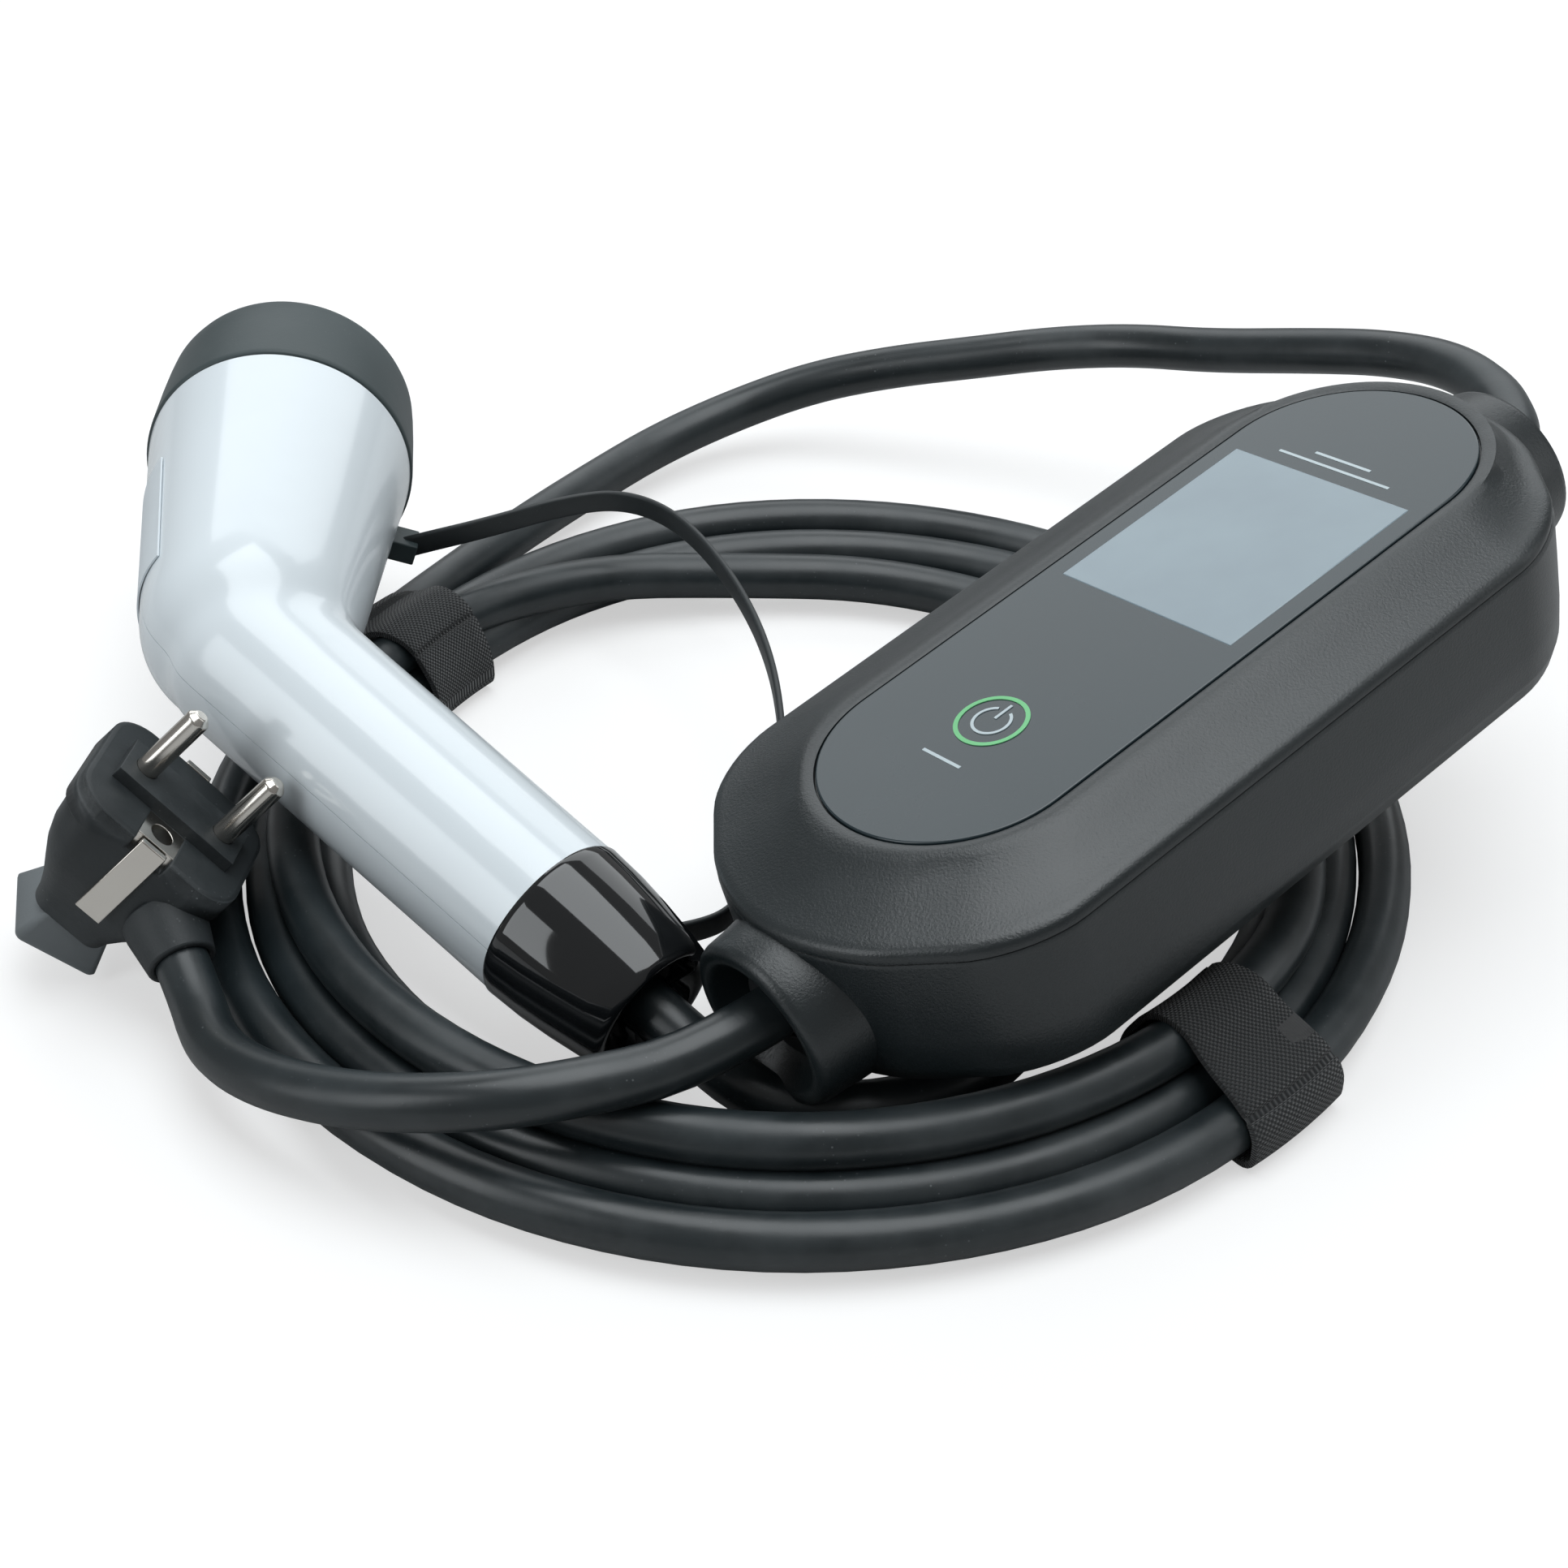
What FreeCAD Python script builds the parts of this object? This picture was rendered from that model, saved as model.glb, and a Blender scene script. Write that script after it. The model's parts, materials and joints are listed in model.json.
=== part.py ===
"""Portable electric-vehicle charging cable: control box, vehicle connector, mains plug and coiled lead.

Millimetres, +Z up, everything lies on the plane z = 0. Every piece is modelled in the frame of the
unit it belongs to and placed by that unit's frame. One STEP file is written for each piece.
"""
import os
from math import cos, sin, tan, degrees, pi, acos

import FreeCAD
import Part

V = FreeCAD.Vector

# ---------------------------------------------------------------- driving dimensions
ORIGIN = V(10.96, -18.17, 0.0)          # centre of the object's footprint, in the layout coordinates below

CABLE_R = 5.25                      # round cable, 10.5 mm outside
GAP = 0.3                           # air between curved faces that only lie near each other
FIT = 0.15                          # assembly clearance between hard pieces

# control box, in its own frame: x to the far end, z out of the face plate
BOX_ORIGIN = V(69.8, -39.4, 72.3)
BOX_X = V(0.747, 0.634, 0.200)
BOX_Y = V(-0.618, 0.773, -0.142)
BOX_CENTRE_X = -4.0                 # the face plate sits this far off the housing's middle
BOX_HALF_LENGTH = 96.0
BOX_HALF_WIDTH = 43.6
BOX_DEPTH = 38.5
SHOULDER_DROP = 5.0
SEAM_DROP = 9.2
WALL = 2.5
PLATE_HALF_LENGTH = 78.0
PLATE_HALF_WIDTH = 26.4
PLATE_THICK = 1.3
SCREEN_CENTRE_X = 21.3
SCREEN_HALF_LENGTH = 24.7
SCREEN_HALF_WIDTH = 22.3
BUTTON_X = -42.9
BUTTON_R = 7.2
SPOUT_R = 16.5
SPOUT_AXIS_Z = -26.2
NEAR_SPOUT_X = -108.0
FAR_SPOUT_X = 97.0
GLAND_R = 9.0                       # bore for the rubber grommet
BOARD_Z = -29.5

# vehicle connector: bend point, nose axis and handle axis
BEND = V(-107.6, -16.6, 45.4)
NOSE_AXIS = V(-0.045, 0.999, 0.016).normalize()
HANDLE_AXIS = V(0.7187, -0.648, -0.250).normalize()
SHELL_WALL = 2.6
HEAD_LENGTH = 70.0
HEAD_R_FRONT = 28.6
HEAD_R_BACK = 22.0
HEEL_PROFILE = [(0.0, -12.0), (8.0, -11.0), (14.0, -8.3), (18.5, -4.0), (21.0, 1.0)]
HEEL_TOP = 5.0
HANDLE_LENGTH = 88.9
HANDLE_R_BACK = 18.2
HANDLE_R_TAIL = 17.4
NUT_END = 116.6
NUT_R_END = 13.8
NOSE_R = 25.2
NOSE_WALL = 2.6
NOSE_END = 95.0
CAP_END = 99.6
CAP_R_END = 27.1
ANCHOR_DISTANCE = 103.0
ANCHOR_RADIUS = 14.6
POWER_BORE_R = 3.0
SIGNAL_BORE_R = 1.5
POWER_PLACES = [(0.0, 0.0), (-17.0, 0.0), (17.0, 0.0)]
SPARE_PLACES = [(-8.5, -14.7), (8.5, -14.7)]
SIGNAL_PLACES = [(-7.6, 13.6), (7.6, 13.6)]

# mains plug: middle of the pin face, pin axis (y) and the line through both pins (x)
PLUG_ORIGIN = V(-115.9, -55.6, 35.2)
PLUG_X = V(0.70, -0.17, -0.695)
PLUG_Y = V(0.71, 0.07, 0.70)
PIN_R = 2.4
PIN_LENGTH = 19.0
PIN_HALF_PITCH = 9.5
PLUG_R = 18.6
PLUG_DEPTH = 24.0
EARTH_BORE_R = 2.4
EARTH_BORE_Z = 10.0
PLUG_EXIT = V(0.7, 0.0, 0.714)
PLUG_EXIT_Y = -13.0

# coil of cable on the floor
COIL_CENTRE = V(5.5, -21.5, 0.0)
COIL_BASE = 1.5                     # the ties pass under the coil
COIL_R_IN = 93.0
COIL_R_OUT = 126.0
COIL_TOP = COIL_BASE + 2 * CABLE_R + 0.1
TIER_R_IN = 98.5                    # one more turn lies on top of the others part of the way round
TIER_R_OUT = 110.0
TIER_TOP = 21.0
TIER_ARCS = [(-72.0, 8.0), (120.0, 156.0)]
TIE_THICK = 1.5
TIE_WIDTH = 25.0
TIE_LEFT_ANGLE = 147.0
TIE_RIGHT_ANGLE = -43.0

# cable routes in layout coordinates; each list starts at the piece that the cable leaves
PLUG_LEAD_ROUTE = [
    V(-105.0, -98.5, 12.8), V(-93.5, -110.5, 15.8), V(-78.0, -119.5, 19.6), V(-61.0, -125.0, 23.6),
    V(-42.0, -126.0, 26.4)]
OUTPUT_LEAD_ROUTE = [
    V(159.6, 40.1, 69.0), V(160.2, 57.1, 68.0), V(153.3, 72.6, 64.5), V(139.9, 84.6, 60.0),
    V(123.0, 95.0, 54.5), V(102.0, 112.0, 46.0), V(84.0, 123.5, 40.0), V(66.0, 131.5, 35.0),
    V(47.0, 136.0, 30.0), V(27.0, 141.5, 24.5), V(7.0, 144.5, 18.5), V(-13.0, 141.5, 12.0),
    V(-31.0, 131.0, 8.5), V(-46.0, 115.0, 7.1), V(-60.0, 97.0, 6.8), V(-71.0, 81.0, 6.8),
    V(-79.0, 67.0, 6.8)]
CONNECTOR_LEAD_ROUTE = [
    V(-5.5, -106.0, 7.6), V(11.0, -108.5, 6.0), V(29.0, -103.5, 5.6), V(43.0, -91.0, 5.6),
    V(50.0, -73.0, 5.6), V(50.0, -53.0, 5.6), V(45.0, -34.0, 5.6), V(41.0, -15.0, 5.8),
    V(44.0, 5.0, 7.0), V(56.0, 20.0, 9.5), V(75.0, 25.5, 13.5), V(93.0, 17.5, 17.8),
    V(104.0, 2.0, 17.6), V(107.9, -7.1, 17.5)]
STRAP_ROUTE = [
    V(-81.2, 57.5, 25.0), V(-67.0, 59.0, 28.0), V(-50.0, 64.5, 30.5), V(-36.0, 66.0, 31.5),
    V(-23.0, 55.0, 32.0), V(-11.0, 32.0, 31.0), V(-3.0, 7.0, 29.0), V(0.0, -18.0, 26.0),
    V(-1.0, -36.0, 21.5), V(-4.5, -53.0, 17.0), V(-10.0, -63.5, 15.2), V(-17.0, -68.0, 15.2),
    V(-22.6, -69.6, 15.6)]
STRAP_THICK = 1.8
STRAP_HEIGHT = 5.0


# ---------------------------------------------------------------- frames and export
class Frame:
    """A right-handed frame given by its origin and two axes; the second is squared up to the first."""

    def __init__(self, origin, x_axis, y_axis):
        self.x = V(x_axis).normalize()
        y_part = V(y_axis) - self.x * V(y_axis).dot(self.x)
        self.y = y_part.normalize()
        self.z = self.x.cross(self.y)
        self.origin = V(origin)

    def point(self, x, y, z):
        return self.origin + self.x * x + self.y * y + self.z * z

    def placement(self):
        m = FreeCAD.Matrix(
            self.x.x, self.y.x, self.z.x, self.origin.x,
            self.x.y, self.y.y, self.z.y, self.origin.y,
            self.x.z, self.y.z, self.z.z, self.origin.z,
            0, 0, 0, 1)
        return FreeCAD.Placement(m)

    def put(self, shape):
        placed = shape.copy()
        placed.Placement = self.placement().multiply(placed.Placement)
        return placed


WORLD = Frame(V(0, 0, 0), V(1, 0, 0), V(0, 1, 0))
BOX = Frame(BOX_ORIGIN, BOX_X, BOX_Y)
PLUG = Frame(PLUG_ORIGIN, PLUG_X, PLUG_Y)
IN_PLANE = (HANDLE_AXIS - NOSE_AXIS * HANDLE_AXIS.dot(NOSE_AXIS)).normalize()
CONNECTOR = Frame(BEND, IN_PLANE, NOSE_AXIS)
BEND_ANGLE = acos(-NOSE_AXIS.dot(HANDLE_AXIS))
HANDLE_LOCAL = V(sin(BEND_ANGLE), -cos(BEND_ANGLE), 0)
INNER_SIDE = V(cos(BEND_ANGLE), sin(BEND_ANGLE), 0)
COIL = Frame(COIL_CENTRE, V(1, 0, 0), V(0, 1, 0))

pieces = {}


def add(name, shape, frame=WORLD):
    placed = frame.put(shape)
    placed.translate(ORIGIN * -1)
    pieces[name] = placed


# ---------------------------------------------------------------- outlines and small solids
def rounded_outline(points, radius, z):
    """Closed wire of straight sides with a tangent arc at each corner."""
    edges = []
    count = len(points)
    starts, mids, ends = [], [], []
    for i in range(count):
        before = V(points[i - 1][0], points[i - 1][1], z)
        here = V(points[i][0], points[i][1], z)
        after = V(points[(i + 1) % count][0], points[(i + 1) % count][1], z)
        back = (before - here).normalize()
        ahead = (after - here).normalize()
        half = acos(max(-1.0, min(1.0, back.dot(ahead)))) / 2
        setback = radius / tan(half)
        bisector = (back + ahead).normalize()
        centre = here + bisector * (radius / sin(half))
        starts.append(here + back * setback)
        mids.append(centre - bisector * radius)
        ends.append(here + ahead * setback)
    for i in range(count):
        edges.append(Part.Arc(starts[i], mids[i], ends[i]).toShape())
        edges.append(Part.LineSegment(ends[i], starts[(i + 1) % count]).toShape())
    return Part.Wire(edges)


def housing_outline(half_length, half_width, centre_x, z, radius=21.0):
    """Long eight-sided outline of the control box."""
    cut_x = half_length - 0.25 * half_length
    flat_y = 0.33 * half_width
    quarter = [(half_length, flat_y), (cut_x, half_width)]
    points = [(centre_x + x, y) for x, y in quarter]
    points += [(centre_x - x, y) for x, y in reversed(quarter)]
    points += [(centre_x - x, -y) for x, y in quarter]
    points += [(centre_x + x, -y) for x, y in reversed(quarter)]
    return rounded_outline(points, radius, z)


def stadium(half_length, half_width, z, thick):
    run = half_length - half_width
    bar = Part.makeBox(2 * run, 2 * half_width, thick, V(-run, -half_width, z))
    ends = [Part.makeCylinder(half_width, thick, V(side * run, 0, z)) for side in (-1, 1)]
    return bar.fuse(ends).removeSplitter()


def block(x0, x1, y0, y1, z0, z1):
    return Part.makeBox(x1 - x0, y1 - y0, z1 - z0, V(x0, y0, z0))


def rod(radius, start, end):
    axis = end - start
    return Part.makeCylinder(radius, axis.Length, start, axis)


def cone(r_start, r_end, start, end):
    axis = end - start
    if abs(r_start - r_end) < 1e-6:
        return rod(r_start, start, end)
    return Part.makeCone(r_start, r_end, axis.Length, start, axis)


def tube(r_out, r_in, start, end):
    return rod(r_out, start, end).cut(rod(r_in, start, end))


def turned(profile, centre=V(0, 0, 0), axis=V(0, 0, 1), start=0.0, sweep=360.0):
    """Solid of revolution about the local z axis of a closed profile of (radius, height) points."""
    wire = Part.makePolygon([V(r, 0, h) for r, h in profile + profile[:1]])
    face = Part.Face(wire)
    face.rotate(V(0, 0, 0), V(0, 0, 1), start)
    solid = face.revolve(V(0, 0, 0), V(0, 0, 1), sweep)
    solid.Placement = FreeCAD.Placement(centre, FreeCAD.Rotation(V(0, 0, 1), axis))
    return solid


def fuse_all(shapes):
    return shapes[0].fuse(shapes[1:]).removeSplitter()


# ---------------------------------------------------------------- control box
def box_sections(shrink, top_z, bottom=False):
    hl = BOX_HALF_LENGTH - shrink
    hw = BOX_HALF_WIDTH - shrink
    radius = 21.0 - shrink
    if bottom:
        floor = -BOX_DEPTH + shrink
        wires = [
            housing_outline(hl + 0.6, hw + 0.8, BOX_CENTRE_X, top_z, radius),
            housing_outline(hl - 2.2, hw - 2.2, BOX_CENTRE_X, floor + 3.0, radius),
            housing_outline(hl - 5.0, hw - 5.0, BOX_CENTRE_X, floor, radius)]
    else:
        wires = [
            housing_outline(PLATE_HALF_LENGTH + 4.5 - shrink, PLATE_HALF_WIDTH + 4.0 - shrink, 0,
                            top_z, 18.0 - shrink),
            housing_outline(hl, hw, BOX_CENTRE_X, -SHOULDER_DROP - 0.4 * shrink, radius),
            housing_outline(hl + 0.6, hw + 0.8, BOX_CENTRE_X, -SEAM_DROP, radius)]
    return Part.makeLoft(wires, True, True)


SCREW_PLACES = [(BOX_CENTRE_X + x, y) for x in (-62.0, 0.0, 62.0) for y in (-36.0, 36.0)]
STAND_PLACES = [(BOX_CENTRE_X + x, y) for x in (-66.0, 66.0) for y in (-21.0, 21.0)]


def spout(face_x, root_x):
    """Cable outlet on an end wall: round over the cable, flat and square under it."""
    low, high = min(face_x, root_x), max(face_x, root_x)
    barrel = rod(SPOUT_R, V(low, 0, SPOUT_AXIS_Z), V(high, 0, SPOUT_AXIS_Z))
    foot = block(low, high, -SPOUT_R, SPOUT_R, -BOX_DEPTH, SPOUT_AXIS_Z)
    return fuse_all([barrel, foot])


def spout_bore(face_x, inward):
    """Bell mouth at the outlet's face, then the straight bore for the grommet."""
    mouth = cone(14.0, GLAND_R, V(face_x, 0, SPOUT_AXIS_Z), V(face_x + inward * 5.0, 0, SPOUT_AXIS_Z))
    bore = rod(GLAND_R, V(face_x, 0, SPOUT_AXIS_Z), V(face_x + inward * 30.0, 0, SPOUT_AXIS_Z))
    return fuse_all([mouth, bore])


def grommet(face_x, inward):
    """Rubber bush between bore and cable, with a collar inside the housing."""
    start = V(face_x + inward * 5.2, 0, SPOUT_AXIS_Z)
    middle = V(face_x + inward * 17.0, 0, SPOUT_AXIS_Z)
    end = V(face_x + inward * 19.5, 0, SPOUT_AXIS_Z)
    body = fuse_all([rod(GLAND_R, start, middle), rod(GLAND_R + 0.7, middle, end)])
    return body.cut(rod(CABLE_R, start - V(40, 0, 0), end + V(40, 0, 0)))


def make_control_box():
    axis_z = SPOUT_AXIS_Z
    near_wall = BOX_CENTRE_X - BOX_HALF_LENGTH
    far_wall = BOX_CENTRE_X + BOX_HALF_LENGTH
    near_root = near_wall + 8.0
    far_root = far_wall - 8.0

    # lower housing
    shell = box_sections(0, -SEAM_DROP, True).cut(box_sections(WALL, -SEAM_DROP, True))
    parts = [shell, spout(NEAR_SPOUT_X, near_root), spout(FAR_SPOUT_X, far_root)]
    floor_z = -BOX_DEPTH + WALL
    for x, y in SCREW_PLACES:
        parts.append(rod(4.0, V(x, y, -BOX_DEPTH + 1.0), V(x, y, -SEAM_DROP - 0.2)))
    for x, y in STAND_PLACES:
        parts.append(rod(3.0, V(x, y, floor_z - 0.5), V(x, y, BOARD_Z)))
    lower = fuse_all(parts)
    for x, y in SCREW_PLACES:
        lower = lower.cut(rod(1.6, V(x, y, -BOX_DEPTH - 1), V(x, y, -SEAM_DROP)))
        lower = lower.cut(rod(3.2, V(x, y, -BOX_DEPTH - 1), V(x, y, -BOX_DEPTH + 4.0)))
    for x, y in STAND_PLACES:
        lower = lower.cut(rod(1.1, V(x, y, floor_z + 1.0), V(x, y, BOARD_Z + 1)))
    lower = lower.cut(spout_bore(NEAR_SPOUT_X, 1)).cut(spout_bore(FAR_SPOUT_X, -1))

    # upper housing
    upper = box_sections(0, 0).cut(box_sections(WALL, -WALL))
    for x, y in SCREW_PLACES:
        boss = rod(4.0, V(x, y, -SEAM_DROP + 0.2), V(x, y, -SHOULDER_DROP + 0.6))
        upper = upper.fuse(boss.common(box_sections(1.0, -1.0)))
    upper = upper.cut(stadium(PLATE_HALF_LENGTH + FIT, PLATE_HALF_WIDTH + FIT, -PLATE_THICK, 5))
    for x, y in SCREW_PLACES:
        upper = upper.cut(rod(1.45, V(x, y, -SEAM_DROP - 1), V(x, y, -SHOULDER_DROP - 0.6)))
    window = block(SCREEN_CENTRE_X - SCREEN_HALF_LENGTH, SCREEN_CENTRE_X + SCREEN_HALF_LENGTH,
                   -SCREEN_HALF_WIDTH, SCREEN_HALF_WIDTH, -8, 5)
    upper = upper.cut(window)
    touch_hole = rod(BUTTON_R + 2.0, V(BUTTON_X, 0, -8), V(BUTTON_X, 0, 0))
    upper = upper.cut(touch_hole).removeSplitter()
    add("top_housing", upper, BOX)

    # seal in the seam
    seal = box_sections(0.9, -SEAM_DROP, True).cut(box_sections(1.9, -SEAM_DROP, True))
    slab = block(-120, 120, -60, 60, -SEAM_DROP - 1.2, -SEAM_DROP)
    seal = seal.common(slab)
    lower_groove = seal.copy()
    lower = lower.cut(lower_groove)
    add("bottom_housing", lower, BOX)
    add("housing_seal", seal, BOX)

    # face plate with its window, and the printed touch symbol
    plate = stadium(PLATE_HALF_LENGTH, PLATE_HALF_WIDTH, -PLATE_THICK, PLATE_THICK)
    plate = plate.cut(window)
    add("face_plate", plate, BOX)
    add("display_window", block(
        SCREEN_CENTRE_X - SCREEN_HALF_LENGTH + 0.05, SCREEN_CENTRE_X + SCREEN_HALF_LENGTH - 0.05,
        -SCREEN_HALF_WIDTH + 0.05, SCREEN_HALF_WIDTH - 0.05, -PLATE_THICK, 0), BOX)
    add("display_module", block(
        SCREEN_CENTRE_X - SCREEN_HALF_LENGTH + 0.3, SCREEN_CENTRE_X + SCREEN_HALF_LENGTH - 0.3,
        -SCREEN_HALF_WIDTH + 0.3, SCREEN_HALF_WIDTH - 0.3, -6.0, -PLATE_THICK - 0.1), BOX)
    add("touch_ring", tube(BUTTON_R, BUTTON_R - 0.9, V(BUTTON_X, 0, 0), V(BUTTON_X, 0, 0.12)), BOX)
    symbol = tube(BUTTON_R * 0.55, BUTTON_R * 0.55 - 0.6, V(BUTTON_X, 0, 0), V(BUTTON_X, 0, 0.12))
    bar_gap = block(BUTTON_X + 0.4, BUTTON_X + 6, -1.0, 1.0, -1, 1)
    bar = block(BUTTON_X + 0.8, BUTTON_X + 5.2, -0.3, 0.3, 0, 0.12)
    add("power_symbol", symbol.cut(bar_gap).fuse(bar), BOX)
    add("touch_sensor", rod(BUTTON_R + 1.8, V(BUTTON_X, 0, -2.6), V(BUTTON_X, 0, -PLATE_THICK)), BOX)

    # electronics on the main board
    board = block(BOX_CENTRE_X - 72, BOX_CENTRE_X + 72, -26, 26, BOARD_Z, BOARD_Z + 1.6)
    for x, y in STAND_PLACES:
        board = board.cut(rod(1.4, V(x, y, BOARD_Z - 1), V(x, y, BOARD_Z + 3)))
    add("main_board", board, BOX)
    top = BOARD_Z + 1.6
    relays = [block(x, x + 16, -22, -2, top, top + 13) for x in (-48.0, -28.0)]
    add("relays", Part.makeCompound(relays), BOX)
    add("power_supply", block(8, 44, -21, 6, top, top + 13), BOX)
    add("current_sensor", tube(8.5, 5.0, V(-58, 10, top + 8.5), V(-46, 10, top + 8.5)), BOX)
    add("terminal_block", block(50, 60, -18, 18, top, top + 9), BOX)
    add("mode_controller", block(-24, -10, 6, 20, top, top + 1.4), BOX)
    screws = []
    for x, y in STAND_PLACES:
        head = rod(2.5, V(x, y, top), V(x, y, top + 1.6))
        screws.append(head.fuse(rod(1.1, V(x, y, floor_z + 1.0), V(x, y, top))))
    add("board_screws", Part.makeCompound(screws), BOX)
    screws = []
    for x, y in SCREW_PLACES:
        head = rod(2.9, V(x, y, -BOX_DEPTH + 1.2), V(x, y, -BOX_DEPTH + 4.0))
        socket = rod(1.5, V(x, y, -BOX_DEPTH + 1.0), V(x, y, -BOX_DEPTH + 2.6))
        shaft = rod(1.45, V(x, y, -BOX_DEPTH + 4.0), V(x, y, -SHOULDER_DROP - 0.8))
        screws.append(head.cut(socket).fuse(shaft))
    add("housing_screws", Part.makeCompound(screws), BOX)

    # cable entries
    for name, face_x, inward in (("near", NEAR_SPOUT_X, 1), ("far", FAR_SPOUT_X, -1)):
        add(name + "_grommet", grommet(face_x, inward), BOX)
        start = face_x + inward * 21.5
        low, high = min(start, start + inward * 7.0), max(start, start + inward * 7.0)
        clamp = block(low, high, -9, 9, axis_z, axis_z + 8.5)
        clamp = clamp.cut(rod(CABLE_R, V(low - 1, 0, axis_z), V(high + 1, 0, axis_z)))
        add(name + "_clamp", clamp, BOX)
        saddle = block(low, high, -9, 9, -BOX_DEPTH + WALL, axis_z - 0.2)
        saddle = saddle.cut(rod(CABLE_R, V(low - 1, 0, axis_z), V(high + 1, 0, axis_z)))
        add(name + "_saddle", saddle, BOX)


# ---------------------------------------------------------------- vehicle connector
def along_handle(distance):
    return HANDLE_LOCAL * distance


def connector_body(shrink, front, tail):
    """Head, rounded heel and handle as one solid, smaller by shrink all round."""
    profile = [(max(r - shrink, 0.0), h + 0.6 * shrink) for r, h in HEEL_PROFILE]
    profile += [(HEAD_R_BACK - shrink, HEEL_TOP), (HEAD_R_FRONT - shrink, front), (0, front)]
    head = turned_on_nose(profile)
    handle = cone(HANDLE_R_BACK - shrink, HANDLE_R_TAIL - shrink, along_handle(0), along_handle(tail))
    return fuse_all([head, handle])


def turned_on_handle(profile):
    return turned(profile, V(0, 0, 0), HANDLE_LOCAL)


def turned_on_nose(profile):
    return turned(profile, V(0, 0, 0), V(0, 1, 0))


def make_connector():
    skin = connector_body(0, HEAD_LENGTH, HANDLE_LENGTH)
    room = connector_body(SHELL_WALL, HEAD_LENGTH + 0.01, HANDLE_LENGTH + 0.01)
    shell = skin.cut(room)
    big = 400.0
    upper_side = block(-big, big, -big, big, 0, big)
    lower_side = block(-big, big, -big, big, -big, 0)
    add("connector_shell_upper", shell.common(upper_side), CONNECTOR)
    add("connector_shell_lower", shell.common(lower_side), CONNECTOR)

    # recessed label on the outer flank, a thin plate that follows the skin
    over = connector_body(-0.35, HEAD_LENGTH, HANDLE_LENGTH).cut(skin)
    label = over.common(block(-60, -18, 12, 48, -9, 9))
    add("rating_label", label, CONNECTOR)

    # nose
    inner_r = NOSE_R - NOSE_WALL
    sleeve = turned_on_nose([(inner_r, 66), (NOSE_R, 66), (NOSE_R, NOSE_END), (inner_r, NOSE_END)])
    add("nose_sleeve", sleeve, CONNECTOR)
    core_r = inner_r - 0.05
    core = rod(core_r, V(0, 66, 0), V(0, NOSE_END - 3, 0))
    for places, radius in ((POWER_PLACES, POWER_BORE_R + 1.2), (SIGNAL_PLACES, SIGNAL_BORE_R + 1.0)):
        for x, z in places:
            core = core.cut(rod(radius, V(x, 65, z), V(x, NOSE_END, z)))
    for x, z in SPARE_PLACES:
        core = core.cut(rod(POWER_BORE_R + 0.4, V(x, 72, z), V(x, NOSE_END, z)))
    add("nose_insulator", core, CONNECTOR)
    retainer = rod(core_r, V(0, 62, 0), V(0, 66, 0))
    add("contact_retainer", retainer, CONNECTOR)
    for name, places, bore_r, wall in (
            ("power_contacts", POWER_PLACES, POWER_BORE_R, 1.15),
            ("signal_contacts", SIGNAL_PLACES, SIGNAL_BORE_R, 0.95)):
        contacts = []
        for x, z in places:
            solid = rod(bore_r + wall, V(x, 66, z), V(x, NOSE_END - 3.4, z))
            contacts.append(solid.cut(rod(bore_r, V(x, 69, z), V(x, NOSE_END, z))))
        add(name, Part.makeCompound(contacts), CONNECTOR)
    seal_in = NOSE_R
    add("nose_seal", turned_on_nose([
        (seal_in, 66), (seal_in + 0.35, 66), (seal_in + 0.35, HEAD_LENGTH - 0.5),
        (seal_in, HEAD_LENGTH - 0.5)]), CONNECTOR)

    # cap over the nose, with the lug that holds its strap
    bore = NOSE_R + GAP
    cap = turned_on_nose([
        (bore, HEAD_LENGTH + 0.3), (HEAD_R_FRONT + 0.3, HEAD_LENGTH + 0.3),
        (HEAD_R_FRONT + 0.1, HEAD_LENGTH + 12), (CAP_R_END + 0.6, CAP_END - 3), (CAP_R_END - 1.4, CAP_END),
        (0, CAP_END), (0, NOSE_END + 1.6), (bore, NOSE_END + 1.6)])
    lug = block(26.6, 34.0, HEAD_LENGTH + 0.3, HEAD_LENGTH + 7.3, -16, -11)
    lug = lug.cut(rod(bore + 0.5, V(0, 60, 0), V(0, 110, 0)))
    add("protective_cap", cap.fuse(lug).removeSplitter(), CONNECTOR)

    # tail: screwed nut, seal, collet, and the rubber button that anchors the strap in the nut's slot
    s0 = HANDLE_LENGTH
    nut = turned_on_handle([
        (12.2, s0 - 8), (14.6, s0 - 8), (14.6, s0 + 0.1), (HANDLE_R_TAIL + 0.1, s0 + 0.1),
        (HANDLE_R_TAIL - 0.4, s0 + 9), (NUT_R_END + 0.5, NUT_END - 1), (NUT_R_END - 0.4, NUT_END),
        (12.0, NUT_END), (9.5, NUT_END - 9), (9.5, s0 + 4), (12.2, s0 + 4)])
    anchor_at = HANDLE_LOCAL * ANCHOR_DISTANCE + INNER_SIDE * ANCHOR_RADIUS
    slot = Frame(anchor_at, HANDLE_LOCAL, INNER_SIDE)
    nut = nut.cut(slot.put(block(-4.1, 4.1, -3.1, 8, -2.3, 2.3)))
    add("tail_nut", nut, CONNECTOR)
    add("strap_anchor", slot.put(block(-4.0, 4.0, -3.0, 2.6, -2.2, 2.2)), CONNECTOR)
    add("tail_seal", turned_on_handle([
        (CABLE_R, s0 + 6), (9.4, s0 + 6), (9.4, NUT_END - 10), (CABLE_R, NUT_END - 10)]), CONNECTOR)
    add("tail_collet", turned_on_handle([
        (CABLE_R, s0 - 7), (12.0, s0 - 7), (12.0, s0 + 3.6), (9.2, s0 + 3.6), (9.2, s0 + 5.9),
        (CABLE_R, s0 + 5.9)]), CONNECTOR)

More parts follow.
